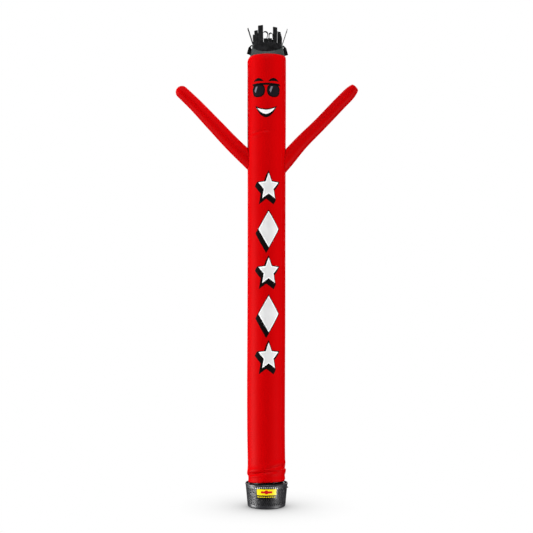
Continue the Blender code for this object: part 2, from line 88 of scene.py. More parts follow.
TUBE_LEVELS = (
    # height, left radius, right radius
    (0.600, 0.2225, 0.2195),
    (0.899, 0.2274, 0.2173),
    (1.420, 0.2292, 0.2190),
    (2.200, 0.2262, 0.2233),
    (2.950, 0.2245, 0.2245),
    (3.800, 0.2242, 0.2265),
    (4.320, 0.2262, 0.2288),
    (4.440, 0.2266, 0.2296),
    (4.560, 0.2268, 0.2302),
    (5.040, 0.2266, 0.2322),
    (5.235, 0.2270, 0.2320),
    (5.264, 0.2232, 0.2308),
    (5.288, 0.2130, 0.2290),
    (5.303, 0.2005, 0.2245),
)
TUBE_COLUMNS = 108
TUBE_RING_GAP = 0.018  # between the mesh's rings on the plain lengths of the tube
CREASE_ROW = 4.320  # height of the row under the crease
CREASE_RING_GAP = 0.005
FOLD_STEPS = 6  # and at least this many rings between two rows of the tables
SEAMS = (52.0, -128.0)  # azimuths of the two long seams between the tube's panels
SEAM_HALF = 0.0055  # half width of the felled seam
SEAM_STEP = 0.0010  # over which it rises
SEAM_RISE = 0.0007
SEAM_RADIUS = HEM_RADIUS * 1.15  # the tube's, where the seams' columns are laid out
SEAM_LINE = 0.0036  # of a line of stitches to each side of a seam's middle
SEAM_PATH_STEPS = 400
SEAM_GAP = 0.0003  # between pieces that are sewn or seated together
TUBE_GIRTH = math.tau * 0.2265
TUBE_HEM = 0.002  # thickness of the hem
HEM_TOP = (0.306, 0.328, 0.324, 0.316)  # of the hem, at the left, front, right and back
FOOT_GATHERS = 0.0016
CROWN_GATHERS = 0.0016
CROWN_GATHER_DEPTH = 0.11
CREASE_HEIGHT = 4.399  # of the crease under the face, on the right
CREASE_DROP = 0.030  # how much lower it lies at its left end
CREASE_DROP_END = 0.95  # radians from the front to that end
CREASE_DEPTH = 0.0070
CREASE_WIDTH = 0.012
CREASE_LIP = 0.034  # how far under it the cloth swells
CREASE_MIDDLE = 0.33  # radians to the left of the front
FOLDS = (
    # depth, azimuths of its ends, heights of its groove at its start, middle and end
    (0.0100, -96.0, 44.0, 0.360, 0.419, 0.449),
    (0.0085, -14.0, 98.0, 0.468, 0.487, 0.474),
)
FOLDS_TOP = 0.60
FOLD_LIFT = 0.040  # from a fold's groove up to its overhang
FOLD_SWELL = 0.034  # from a fold's groove down to the swell under it
FOLD_WIDTH = 0.017
RING_POINTS = 180  # points of a path for stitches round the tube or the crown
STITCH_WIDTH = 0.0011
STITCH_HEIGHT = 0.0009
STITCH_SHARE = 0.72  # of the pitch that a stitch covers
TOP_STITCHES = (0.006, 0.014)  # two lines of stitches, so far under an edge

# ---------------------------------------------------------------- sizes: the arms
LEFT_ARM = (
    # x, z, half width seen from the front, half depth
    (-0.100, 3.975, 0.0945, 0.0945),
    (-0.226, 4.097, 0.0940, 0.0940),
    (-0.401, 4.267, 0.0915, 0.0915),
    (-0.631, 4.510, 0.0860, 0.0860),
    (-0.856, 4.747, 0.0785, 0.0790),
    (-1.004, 4.889, 0.0750, 0.0760),
)
RIGHT_ARM = (
    (0.100, 3.922, 0.0930, 0.0930),
    (0.2285, 4.072, 0.0920, 0.0920),
    (0.401, 4.273, 0.0840, 0.0860),
    (0.643, 4.515, 0.0780, 0.0800),
    (0.868, 4.751, 0.0770, 0.0790),
    (0.968, 4.853, 0.0755, 0.0830),
    (1.022, 4.911, 0.0655, 0.0950),
    (1.047, 4.938, 0.0540, 0.1020),
)
ARM_COLUMNS = 56
ARM_RINGS = 96
ARM_END_RINGS = 9
BLUNT_BULGE = 0.14  # depth of the right arm's end in half widths
BLUNT_CORNER = 0.45  # the smaller, the squarer the edge of that end
ROOT_PUCKER = 0.0022  # of the cloth along the seam at an arm's root
ROOT_PUCKER_REACH = 0.10
ROOT_STITCHES = (0.004, 0.008)  # two lines of stitches, so far off the arm's skin
ROOT_POINTS = 72
ARM_HOLE_MARGIN = 0.004  # the hole is this much smaller all round than the arm
ARM_HOLE_LEVEL = 1.8  # the plug that cuts the hole ends at this row of the arm's table

# ---------------------------------------------------------------- sizes: crown and hair
CAP_SHIFT = 0.012  # the crown leans this far to the right of the tube
CAP_SECTIONS = (
    # height, radius: from the skirt tucked inside the seam to the edge of the vent
    (5.286, 0.2100),
    (5.304, 0.2100),
    (5.375, 0.1935),
    (5.440, 0.1780),
    (5.452, 0.1630),
    (5.456, 0.1000),
)
CAP_SEAM, CAP_EDGE = CAP_SECTIONS[1], CAP_SECTIONS[3]
CAP_COLUMNS = 128
CAP_STEPS = 9
CAP_GATHERS = 0.0011
CAP_HEM = 0.0018  # thickness of the vent's edge
CAP_MAP_RADIUS = 0.19  # at which the cloth of the cap and the hair is laid out
BAND_LIFT = 0.0029  # off the cap
BARE_BAND = math.radians(63)  # past this on either side the band is faced with mesh
BAND_LOW = (5.425, 5.333, 5.425, 5.398)  # at the left, front, right and back
BAND_TOP = 5.446
BAND_STEPS = 6
RIBBON_ACROSS = (-1.0, -0.80, -0.76, -0.3, 0.3, 0.76, 0.80, 1.0)  # lines of points across
RIBBON_EDGE = 0.78  # past this share of its half width a ribbon is turned in
RIBBON_STEPS = 56
RIBBON_TWIST = (0.22, 0.40)  # shares of a ribbon's length between which it twists
RIBBON_HEM = 0.0026  # thickness of the turned end and edges
CROSS_CURL = 0.004  # the edges of a ribbon stand this far behind its middle
FLUTTER = 0.0016
FLUTTER_TURNS = 95.0  # radians of flutter to a metre of ribbon
RIBBONS = (
    # azimuth, width, length, lean out, twist, sideways swing, bend, its start and its end
    (-3.0, 0.050, 0.045, 1.0, 0.0, 0.0, 0.0, 0.20, 1.00),
    (13.6, 0.050, 0.047, 1.0, 0.0, 0.0, 0.0, 0.20, 1.00),
    (-23.4, 0.066, 0.204, 2.0, -2.0, 1.0, -4.0, 0.20, 1.00),
    (33.0, 0.062, 0.184, 2.0, 2.0, -1.0, -4.0, 0.20, 1.00),
    (-44.5, 0.054, 0.152, 4.0, 4.0, 2.0, -4.0, 0.20, 1.00),
    (52.6, 0.058, 0.137, 4.0, -4.0, 1.0, -4.0, 0.20, 1.00),
    (-62.5, 0.048, 0.112, 5.0, -12.0, 0.0, -14.0, 0.30, 1.00),
    (70.5, 0.048, 0.104, 5.0, 6.0, 0.0, -14.0, 0.30, 1.00),
    (-79.0, 0.052, 0.206, 18.0, 0.0, 0.0, 0.0, 0.00, 1.00),
    (86.5, 0.048, 0.202, 18.0, 0.0, 0.0, 0.0, 0.00, 1.00),
    (-97.0, 0.052, 0.120, 75.0, 50.0, 0.0, 90.0, 0.00, 0.25),
    (103.5, 0.054, 0.128, 75.0, -50.0, 0.0, 90.0, 0.00, 0.25),
    (-115.0, 0.052, 0.150, 6.0, 12.0, -6.0, -12.0, 0.30, 1.00),
    (123.0, 0.056, 0.160, 6.0, -12.0, 6.0, -12.0, 0.30, 1.00),
    (-133.5, 0.056, 0.190, 4.0, 10.0, 4.0, -8.0, 0.30, 1.00),
    (147.5, 0.068, 0.118, 4.0, -10.0, -4.0, -8.0, 0.30, 1.00),
    (-152.0, 0.054, 0.114, 2.0, 6.0, 0.0, -4.0, 0.30, 1.00),
    (-170.4, 0.050, 0.355, 2.0, 90.0, 13.0, 189.0, 0.52, 0.78),
    (170.4, 0.050, 0.328, 2.0, 90.0, -2.0, -175.0, 0.55, 0.79),
)

# ---------------------------------------------------------------- sizes: the blower
HOUSING_HEIGHT = 0.280
RIM_RADIUS = 0.2490
RIM_BAND = 0.018
WALL_TOP_RADIUS = 0.2455
WALL_FOOT_RADIUS = 0.2235
WALL_FOOT_HEIGHT = 0.030
FOOT_RADIUS = 0.2060
HOUSING_WALL = 0.0045
HOUSING_LIFT = 0.003
BASE_RADIUS = 0.2010
DUCT_RADIUS = 0.1957
DECK_TOP = 0.259
LIP_RADIUS = 0.2130
LIP_TOP = 0.2805
LIP_EDGE = 0.005
TURN_STEPS = 128
KNOB_RADIUS = 0.0085
KNOB_LENGTH = 0.012
KNOB_SEATS = (
    # node, azimuth, radius of the seat, height
    ("knob_upper", 76.0, LIP_RADIUS, 0.2675),
    ("knob_lower", 90.0, 0.2424, 0.2230),
)
LABEL_FACETS = 4  # the label reaches over this many of the model's 44 facets each way
LABEL_FACET = math.tau / 44
LABEL_LOW = 0.122
LABEL_HIGH = 0.254
LABEL_CORNER = 0.018
LABEL_THICKNESS = 0.0015
FIELD = (-0.1150, 0.1690, 0.1170, 0.2400)  # the label's yellow field: left, foot, right, top
FIELD_CORNER = 0.006
FIELD_STRIPE = (0.1930, 0.2160)  # foot and top of its red stripe
FIELD_STRIPE_INSET = 0.05
FIELD_DISC = 0.024
ABOVE_FIELD = 12  # white lozenges in a bow over the field
ABOVE_BOW = (0.126, 0.262, 0.017)  # half width, height and fall of that bow
ABOVE_WIDTH = 0.013
UNDER_FIELD = 9  # yellow dashes under it
UNDER_HALF = 0.100  # half width of their row
UNDER_LOW = 0.143
DASH = (0.017, 0.011, 0.002)  # width, height and corner of a dash
KNOB_FLUTES = 9
KNOB_SIDES = 72
POINTER = (0.0016, KNOB_RADIUS * 0.8, 0.0008)  # width, length and height of a knob's pointer
LATTICE_LOW = 0.0535  # middle of the lowest row of diamonds
LATTICE_PITCH = 0.0195  # from one staggered row to the next
LATTICE_ROWS = 10
LATTICE_RADIUS = 0.24  # of the wall, at which the diamonds' slope is reckoned
LATTICE_MARGIN = 0.0025  # from the outer diamonds' points to the plain bands
MOULD_EDGE = 0.0006  # bevel of the ribs


def linear(hex_colour):
    """An sRGB hex colour as linear red, green and blue."""
    shares = [int(hex_colour[k : k + 2], 16) / 255 for k in (1, 3, 5)]
    return tuple(s / 12.92 if s <= 0.04045 else ((s + 0.055) / 1.055) ** 2.4 for s in shares)


LABEL_WHITE = linear("#E8E8E8")


# ---------------------------------------------------------------- settings for the user


class ClothSettings(bpy.types.PropertyGroup):
    """The nylon, its seams and hems"""

    red: FloatVectorProperty(
        name="Red nylon", description="Dye of the tube and the arms",
        subtype="COLOR", min=0.0, max=1.0, default=linear("#C20003"),
    )
    black: FloatVectorProperty(
        name="Black nylon", description="Dye of the hair",
        subtype="COLOR", min=0.0, max=1.0, default=linear("#1C1C1D"),
    )
    thickness: FloatProperty(
        name="Cloth thickness", description="Thickness of each sheet of nylon as it is drawn",
        unit="LENGTH", default=0.0012, min=0.0005, max=0.002,
    )
    ripstop: FloatProperty(
        name="Ripstop grid", description="Distance between the thicker threads of the weave",
        unit="LENGTH", default=0.008, min=0.004, max=0.02,
    )
    stitch: FloatProperty(
        name="Stitch pitch", description="Distance from one stitch to the next",
        unit="LENGTH", default=0.007, min=0.004, max=0.02,
    )
    hem: FloatProperty(
        name="Ribbon hem", description="Depth of the turned end of each ribbon",
        unit="LENGTH", default=0.021, min=0.005, max=0.04,
    )


class PrintSettings(bpy.types.PropertyGroup):
    """The inks and the column of motifs"""

    white: FloatVectorProperty(
        name="White ink", description="Ink of the motifs and the teeth",
        subtype="COLOR", min=0.0, max=1.0, default=linear("#F2F2F2"),
    )
    shadow: FloatVectorProperty(
        name="Shadow ink", description="Black ink beside the motifs",
        subtype="COLOR", min=0.0, max=1.0, default=linear("#0A0606"),
    )
    motif_width: FloatProperty(
        name="Motif width", description="Width of each star and lozenge on the tube",
        unit="LENGTH", default=0.246, min=0.1, max=0.3,
    )
    motifs: IntProperty(
        name="Motifs", description="How many stars and lozenges stand in the column",
        default=5, min=1, max=7,
    )


class BlowerSettings(bpy.types.PropertyGroup):
    """The blower's housing and label"""

    plastic: FloatVectorProperty(
        name="Housing plastic", description="Colour of the moulded housing",
        subtype="COLOR", min=0.0, max=1.0, default=linear("#26262A"),
    )
    yellow: FloatVectorProperty(
        name="Label field", description="Colour of the label's field",
        subtype="COLOR", min=0.0, max=1.0, default=linear("#FFE40A"),
    )
    columns: IntProperty(
        name="Lattice columns", description="Diamonds in one row round the housing",
        default=58, min=20, max=80,
    )
    rib: FloatProperty(
        name="Lattice rib", description="Width of the ribs between the diamonds",
        unit="LENGTH", default=0.0060, min=0.002, max=0.01,
    )


class StageSettings(bpy.types.PropertyGroup):
    """The camera"""

    distance: FloatProperty(
        name="Camera distance", description="From the tube's axis to the camera",
        unit="LENGTH", default=12.6, min=5.0, max=40.0,
    )
    height: FloatProperty(
        name="Camera height", description="Of the camera above the floor",
        unit="LENGTH", default=2.44, min=0.5, max=6.0,
    )
    pitch: FloatProperty(
        name="Camera pitch", description="Upward tilt of the camera",
        subtype="ANGLE", default=math.radians(1.714),
    )
    lens: FloatProperty(
        name="Lens", description="Focal length in millimetres on a 36 mm sensor",
        default=72.0, min=20.0, max=200.0,
    )


def settings():
    """The scene's settings for the air dancer."""
    return bpy.context.scene.air_dancer


class DancerSettings(bpy.types.PropertyGroup):
    """All settings of the air dancer"""

    cloth: PointerProperty(type=ClothSettings)
    prints: PointerProperty(type=PrintSettings)
    blower: PointerProperty(type=BlowerSettings)
    stage: PointerProperty(type=StageSettings)


# ---------------------------------------------------------------- curves through tables


def settled_slope(before, after):
    """The slope at a row that never carries a curve past its rows."""
    return 0.0 if before * after <= 0.0 else 2.0 * before * after / (before + after)


def through(rows, level):
    """Values on a smooth curve through a table's rows, at a level from 0 to the last row."""
    k = min(max(int(level), 0), len(rows) - 2)
    t = level - k
    values = []
    for column, low in enumerate(rows[k]):
        high = rows[k + 1][column]
        rise = high - low
        before = low - rows[k - 1][column] if k else rise
        after = rows[k + 2][column] - high if k + 2 < len(rows) else rise
        start, end = settled_slope(before, rise), settled_slope(rise, after)
        blend = t * t * (3.0 - 2.0 * t)
        ease = start * t * (1.0 - t) ** 2 - end * t * t * (1.0 - t)
        values.append(low + rise * blend + ease)
    return values


def around(azimuth, left, front, right, back):
    """A value that runs smoothly round the tube through its four sides."""
    mean = (left + front + right + back) / 4
    second = (front + back - left - right) / 4
    return (
        mean
        + (right - left) / 2 * math.sin(azimuth)
        + (front - back) / 2 * math.cos(azimuth)
        + second * math.cos(2 * azimuth)
    )


def on_ring(azimuth, radius, height):
    """The point at an azimuth, a radius and a height."""
    return Vector((radius * math.sin(azimuth), -radius * math.cos(azimuth), height))


def azimuth_of(point):
    """The azimuth of a point, from -pi to pi."""
    return math.atan2(point.x, -point.y)


def even_turns(count):
    """Even angles round a full turn."""
    return [math.tau * k / count for k in range(count)]


def fade(value, start, end):
    """1 at start and before it, falling smoothly to 0 at end."""
    share = min(max((value - start) / (end - start), 0.0), 1.0)
    return 1.0 - share * share * (3.0 - 2.0 * share)


def gathers(azimuth):
    """Uneven small pleats round a drawn-in edge, from -1 to 1."""
    return (
        0.45 * math.sin(23 * azimuth + 0.7)
        + 0.35 * math.sin(37 * azimuth + 2.1)
        + 0.20 * math.sin(61 * azimuth + 4.0)
    )


def to_side(azimuth, other):
    """Shortest turn between two azimuths, in radians."""
    return (azimuth - other + math.pi) % math.tau - math.pi


# ---------------------------------------------------------------- the tube's surface


def tube_rows():
    """The rows of both tables, each with four heights and four radii."""
    rows = [(*heights, *radii) for heights, radii in FOOT_SECTIONS]
    for height, left, right in TUBE_LEVELS:
        middle = (left + right) / 2
        rows.append((height,) * 4 + (left, middle, right, middle))
    return rows


def tube_sections():
    """Fine sections of the tube from the hem to the crown seam."""
    rows = tube_rows()
    sections = []
    for k, (low, high) in enumerate(zip(rows, rows[1:])):
        fine = low[1] == CREASE_ROW
        gap = CREASE_RING_GAP if fine else TUBE_RING_GAP
        steps = max(FOLD_STEPS, round((high[1] - low[1]) / gap))
        sections += [through(rows, k + step / steps) for step in range(steps)]
    sections.append(list(rows[-1]))
    return sections


SECTIONS = tube_sections()
FIRST_LEVEL = next(k for k, section in enumerate(SECTIONS) if section[0] == TUBE_LEVELS[0][0])

def crease(azimuth, height):
    """The crease across the front under the face, and the soft swell below it."""
    off_front = to_side(azimuth, 0.0)
    line = CREASE_HEIGHT - CREASE_DROP * (1.0 - fade(-off_front, 0.0, CREASE_DROP_END))
    near = abs(off_front + CREASE_MIDDLE)
    depth = CREASE_DEPTH * (0.85 * fade(near, 0.12, 0.60) + 0.15 * fade(near, 0.6, 1.2))
    off = height - line
    trough = math.exp(-((off / CREASE_WIDTH) ** 2))
    swell = math.exp(-(((off + CREASE_LIP) / (1.8 * CREASE_WIDTH)) ** 2))
    return depth * (0.5 * swell - trough)


def foot_fold(azimuth, height, depth, start, end, low, middle, high):
    """A slanting fold: a groove, the cloth that hangs over it and the swell under it."""
    share = (math.degrees(to_side(azimuth, 0.0)) - start) / (end - start)
    if not 0.0 < share < 1.0:
        return 0.0
    bow = 4.0 * (middle - (low + high) / 2.0) * share * (1.0 - share)
    off = height - (low + (high - low) * share + bow)
    reach = fade(abs(share - 0.5), 0.30, 0.5)
    groove = math.exp(-((off / FOLD_WIDTH) ** 2))
    overhang = math.exp(-(((off - FOLD_LIFT) / (1.4 * FOLD_WIDTH)) ** 2))
    swell = math.exp(-(((off + FOLD_SWELL) / FOLD_WIDTH) ** 2))
    return depth * reach * (0.8 * overhang + 0.6 * swell - groove)


def relief(azimuth, height):
    """How far seams, gathers, folds and the crease stand out of the tube's plain surface."""
    foot = around(azimuth, *FOOT_SECTIONS[0][0])
    crown = TUBE_LEVELS[-1][0]
    rise = FOOT_GATHERS * gathers(azimuth) * fade(height, foot + 0.01, foot + 0.10)
    rise += CROWN_GATHERS * gathers(azimuth + 1.0) * fade(crown - height, 0.0, CROWN_GATHER_DEPTH)
    for seam in SEAMS:
        off = abs(to_side(azimuth, math.radians(seam))) * SEAM_RADIUS
        rise += SEAM_RISE * fade(off, SEAM_HALF, SEAM_HALF + SEAM_STEP)
    if height < FOLDS_TOP:
        rise += sum(foot_fold(azimuth, height, *fold) for fold in FOLDS)
    return rise + crease(azimuth, height)


def plain_radius(azimuth, height):
    """Radius of the tube without its seams, at a height above the foot's folds."""
    low, high = FIRST_LEVEL, len(SECTIONS) - 1
    while high - low > 1:
        middle = (low + high) // 2
        low, high = (middle, high) if SECTIONS[middle][0] <= height else (low, middle)
    share = (height - SECTIONS[low][0]) / (SECTIONS[high][0] - SECTIONS[low][0])
    share = min(max(share, 0.0), 1.0)
    lower = around(azimuth, *SECTIONS[low][4:])
    return lower + share * (around(azimuth, *SECTIONS[high][4:]) - lower)


def tube_radius(azimuth, height):
    """Radius of the tube with all that stands out of it."""
    return plain_radius(azimuth, height) + relief(azimuth, height)


def tube_azimuths():
    """Even columns round the tube, with closer ones at the edges of the long seams."""
    even = even_turns(TUBE_COLUMNS)
    clear = (SEAM_HALF + SEAM_STEP) / HEM_RADIUS
    kept = [a for a in even if all(abs(to_side(a, math.radians(s))) > clear * 1.3 for s in SEAMS)]
    for seam in SEAMS:
        for off in (-SEAM_HALF - SEAM_STEP, -SEAM_HALF, SEAM_HALF, SEAM_HALF + SEAM_STEP):
            kept.append((math.radians(seam) + off / SEAM_RADIUS) % math.tau)
    return sorted(kept)


# ---------------------------------------------------------------- mesh helpers


def grid(shape, lines, closed=False):
    """Faces between lines of points, each line joined to the next."""
    loops = [[shape.verts.new(point) for point in line] for line in lines]
    for lower, upper in zip(loops, loops[1:]):
        for k in range(len(lower) - (0 if closed else 1)):
            after = (k + 1) % len(lower)
            shape.faces.new((lower[k], lower[after], upper[after], upper[k]))
    return loops


def close_over(shape, loop, point):
    """A fan of triangles from a loop to one point."""
    tip = shape.verts.new(point)
    for k in range(len(loop)):
        shape.faces.new((loop[k], loop[(k + 1) % len(loop)], tip))


def piece(name, shape, materials, sharp=60.0):
    """A shown object that rides on the one body, from a bmesh."""
    mesh = bpy.data.meshes.new(name)
    shape.to_mesh(mesh)
    shape.free()
    mesh.shade_smooth()
    mesh.set_sharp_from_angle(angle=math.radians(sharp))
    made = bpy.data.objects.new(name, mesh)
    bpy.context.scene.collection.objects.link(made)
    for finish in materials:
        mesh.materials.append(finish)
    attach(made, "root")
    return made


def cloth_map(made, place, girth):
    """A UV map in metres of cloth: place gives it for each point of the mesh, and girth is
    added where a face crosses the line from which the cloth is laid out."""
    mesh = made.data
    layer = mesh.uv_layers.new(name="cloth")
    where = [place(vert.co) for vert in mesh.vertices]
    for face in mesh.polygons:
        corners = [where[k] for k in face.vertices]
        widest = max(u for u, _ in corners)
        for loop, (u, v) in zip(face.loop_indices, corners):
            layer.data[loop].uv = (u + (girth if widest - u > girth / 2 else 0.0), v)


def thick(made, thickness, group=None, thin=1.0):
    """Thickens a sheet inwards. In the group it has all of the thickness, elsewhere a share."""
    modifier = made.modifiers.new("Sheet", "SOLIDIFY")
    modifier.thickness = thickness
    modifier.offset = -1.0
    modifier.use_even_offset = False
    if group:
        modifier.vertex_group = group
        modifier.thickness_vertex_group = thin


def turned(name, profile, materials, steps=TURN_STEPS, sharp=35.0):
    """A closed profile of (radius, height) points turned round Z. Its outside runs down."""
    shape = bmesh.new()
    azimuths = even_turns(steps)
    rings = [[on_ring(a, radius, height) for a in azimuths] for radius, height in profile]
    loops = grid(shape, reversed(rings), closed=True)
    first, last = loops[0], loops[-1]
    for k in range(steps):
        after = (k + 1) % steps
        shape.faces.new((last[k], last[after], first[after], first[k]))
    bmesh.ops.recalc_face_normals(shape, faces=shape.faces)
    return piece(name, shape, materials, sharp)


def rounded(corner, radius, start, end, steps=4):
    """Points of a rounded corner: its centre, radius, and from one angle to the other."""
    points = []
    for k in range(steps + 1):
        turn = math.radians(start + (end - start) * k / steps)
        points.append((corner[0] + radius * math.cos(turn), corner[1] + radius * math.sin(turn)))
    return points


# ---------------------------------------------------------------- materials


def node(tree, kind, inputs=None, **properties):
    """Adds a node with its settings, and its inputs as values or as links."""
    made = tree.nodes.new(kind)
    for name, value in properties.items():
        setattr(made, name, value)
    for name, value in (inputs or {}).items():
        if isinstance(value, bpy.types.NodeSocket):
            tree.links.new(value, made.inputs[name])
        else:
            made.inputs[name].default_value = value
    return made


def new_material(name, colour):
    """An empty material and its output. The colour is what the viewport shows."""
    made = bpy.data.materials.new(name)
    made.use_nodes = True
    made.diffuse_color = (*colour, 1.0)
    made.node_tree.nodes.clear()
    return made, made.node_tree


def shade(tree, colour, **inputs):
    """The Principled shader and the output. Words in capitals and spaces come as inputs."""
    names = {key.replace("_", " ").title(): value for key, value in inputs.items()}
    if "Ior" in names:
        names["IOR"] = names.pop("Ior")
    if "Specular Ior Level" in names:
        names["Specular IOR Level"] = names.pop("Specular Ior Level")
    shader = node(tree, "ShaderNodeBsdfPrincipled", {"Base Color": colour, **names})
    node(tree, "ShaderNodeOutputMaterial", {"Surface": shader.outputs["BSDF"]})
    return shader


def varied(tree, colour, spread, scale):
    """A colour that varies unevenly by a share to each side, over a size in metres."""
    ramp = node(tree, "ShaderNodeValToRGB", {"Fac": noise(tree, 1.0 / scale, 3.0)})
    for stop, share in zip(ramp.color_ramp.elements, (1.0 - spread, 1.0 + spread)):
        stop.color = (*(min(c * share, 1.0) for c in colour), 1.0)
    ramp.color_ramp.elements[0].position = 0.3
    ramp.color_ramp.elements[1].position = 0.7
    return ramp.outputs["Color"]


def noise(tree, scale, detail):
    """Noise that stays with the object. The scale is in waves to a metre."""
    where = node(tree, "ShaderNodeTexCoord").outputs["Object"]
    made = node(tree, "ShaderNodeTexNoise", {"Vector": where, "Scale": scale, "Detail": detail})
    return made.outputs["Fac"]


def bump(tree, height, distance, strength=1.0, **inputs):
    """The normal of a surface that rises by distance, in metres, with the height's value."""
    settled = {"Height": height, "Distance": distance, "Strength": strength, **inputs}
    return node(tree, "ShaderNodeBump", settled).outputs["Normal"]


def ripstop_bump(tree, pitch, billow=0.0):
    """Raised threads in a square grid on the cloth's own map, over a faint billow."""
    place = node(tree, "ShaderNodeUVMap", uv_map="cloth").outputs["UV"]
    split = node(tree, "ShaderNodeSeparateXYZ", {"Vector": place})
    threads = []
    for axis in ("X", "Y"):
        near = node(
            tree, "ShaderNodeMath", {0: split.outputs[axis], 1: pitch / 2}, operation="PINGPONG"
        )
        ridge = node(
            tree, "ShaderNodeMapRange",
            {"Value": near.outputs[0], "From Min": 0.0, "From Max": 0.0009, "To Min": 1.0, "To Max": 0.0},
            interpolation_type="SMOOTHSTEP",
        )
        threads.append(ridge.outputs["Result"])
    crossed = node(tree, "ShaderNodeMath", {0: threads[0], 1: threads[1]}, operation="MAXIMUM")
    grid_normal = bump(tree, crossed.outputs[0], 0.0002, 0.35)
    if not billow:
        return grid_normal
    return bump(tree, noise(tree, 7.0, 4.0), billow, Normal=grid_normal)


def dyed_nylon(name, colour, spread, patch, roughness, billow):
    """Ripstop nylon, woven, dyed and coated: a thin satin cloth with a fine raised grid."""
    made, tree = new_material(name, colour)
    shade(
        tree,
        varied(tree, colour, spread, patch),
        roughness=roughness,
        specular_ior_level=0.02,
        ior=1.53,
        normal=ripstop_bump(tree, settings().cloth.ripstop, billow),
    )
    return made


def red_nylon():
    """The cloth of the tube and arms."""
    return dyed_nylon("ripstop nylon, red", tuple(settings().cloth.red), 0.03, 0.35, 0.50, 0.0016)


def black_nylon():
    """The cloth of the hair, crumpled, so that its shade varies over 50 mm."""
    return dyed_nylon("ripstop nylon, black", tuple(settings().cloth.black), 0.60, 0.05, 0.48, 0.0040)


def vent_mesh():
    """Polyester mesh, warp knitted and dyed grey: its small holes make it look speckled.
    The knit's holes are about 2 mm apart, drawn here 9 mm apart so that they show."""
    dark, light = linear("#0D1414"), linear("#37413F")
    made, tree = new_material("knitted mesh, grey", dark)
    place = node(tree, "ShaderNodeUVMap", uv_map="cloth").outputs["UV"]
    cells = node(
        tree, "ShaderNodeTexVoronoi",
        {"Vector": place, "Scale": 1.0 / 0.009, "Randomness": 0.35},
        voronoi_dimensions="2D",
    )
    ramp = node(tree, "ShaderNodeValToRGB", {"Fac": cells.outputs["Distance"]})
    ramp.color_ramp.elements[0].color = (*dark, 1.0)
    ramp.color_ramp.elements[0].position = 0.25
    ramp.color_ramp.elements[1].color = (*light, 1.0)
    ramp.color_ramp.elements[1].position = 0.60
    holes = bump(tree, cells.outputs["Distance"], 0.0008, 0.8)
    shade(tree, ramp.outputs["Color"], roughness=0.62, ior=1.53, normal=holes)
    return made


def printed_ink(name, colour):
    """Plastisol ink, screen printed: a thin, even, slightly soft film that shows the grid."""
    made, tree = new_material(f"screen print ink, {name}", colour)
    shade(
        tree,
        varied(tree, colour, 0.04, 0.08),
        roughness=0.52,
        specular_ior_level=0.05,
        ior=1.5,
        normal=ripstop_bump(tree, settings().cloth.ripstop),
    )
    return made


def sewing_thread(name, colour):
    """Polyester thread, spun and dyed: matt, a little rough, a shade off the cloth."""
    made, tree = new_material(f"spun polyester thread, {name}", colour)
    twist = bump(tree, noise(tree, 900.0, 2.0), 0.0003)
    shade(tree, varied(tree, colour, 0.12, 0.02), roughness=0.75, ior=1.55, normal=twist)
    return made


def moulded_plastic():
    """Polypropylene, injection moulded with a spark-eroded grain: black, satin, dusty grey
    where the light grazes it. The grain is about 0.3 mm, drawn at 2.5 mm so that it shows."""
    colour = tuple(settings().blower.plastic)
    made, tree = new_material("moulded polypropylene, black", colour)
    rubbed = node(
        tree, "ShaderNodeMapRange",
        {"Value": noise(tree, 14.0, 5.0), "From Min": 0.3, "From Max": 0.7, "To Min": 0.36, "To Max": 0.52},
    )
    shade(
        tree,
        varied(tree, colour, 0.25, 0.05),
        roughness=rubbed.outputs["Result"],
        ior=1.49,
        normal=bump(tree, noise(tree, 400.0, 3.0), 0.0003, 0.5),
    )
    return made


def painted_steel():
    """Sheet steel, powder coated: black, half matt, with a faint orange peel 3 mm wide."""
    colour = linear("#08080A")
    made, tree = new_material("powder-coated steel, black", colour)
    peel = bump(tree, noise(tree, 330.0, 1.0), 0.0002, 0.5)
    shade(tree, varied(tree, colour, 0.2, 0.06), roughness=0.42, ior=1.5, normal=peel)
    return made


def label_vinyl(name, colour):
    """Vinyl film, calendered and printed: smooth and rather glossy, faintly uneven."""
    made, tree = new_material(f"printed vinyl film, {name}", colour)
    dents = bump(tree, noise(tree, 60.0, 2.0), 0.0004, 0.4)
    shade(tree, varied(tree, colour, 0.05, 0.05), roughness=0.34, ior=1.52, normal=dents)
    return made


WHITE = (1.0, 1.0, 1.0, 1.0)
FLOOR_SHADE = 0.9  # how far off a thing still shades the floor


def studio_floor():
    """Matt white paint, rolled and lit evenly from all round: it stays white in the open
    and greys only where what stands on it keeps that light off."""
    made, tree = new_material("matt white paint", (0.8, 0.8, 0.8))
    rolled = bump(tree, noise(tree, 3.0, 2.0), 0.001)
    open_sky = node(
        tree, "ShaderNodeAmbientOcclusion", {"Distance": FLOOR_SHADE, "Normal": rolled}, samples=16
    )
    evened = node(
        tree, "ShaderNodeMapRange",
        {"Value": open_sky.outputs["AO"], "From Min": 0.45, "From Max": 0.97, "To Min": 0.40, "To Max": 1.0},
    )
    shader = node(
        tree, "ShaderNodeEmission",
        {"Color": WHITE, "Strength": evened.outputs["Result"]},
    )
    node(tree, "ShaderNodeOutputMaterial", {"Surface": shader.outputs["Emission"]})
    return made


MADE = {}


def shared(make, *words):
    """The material that a function makes, made once and then found again."""
    key = f"{make.__name__} {' '.join(str(word) for word in words)}"
    if key not in MADE:
        MADE[key] = make(*words)
    return MADE[key]


# ---------------------------------------------------------------- the tube and the arms


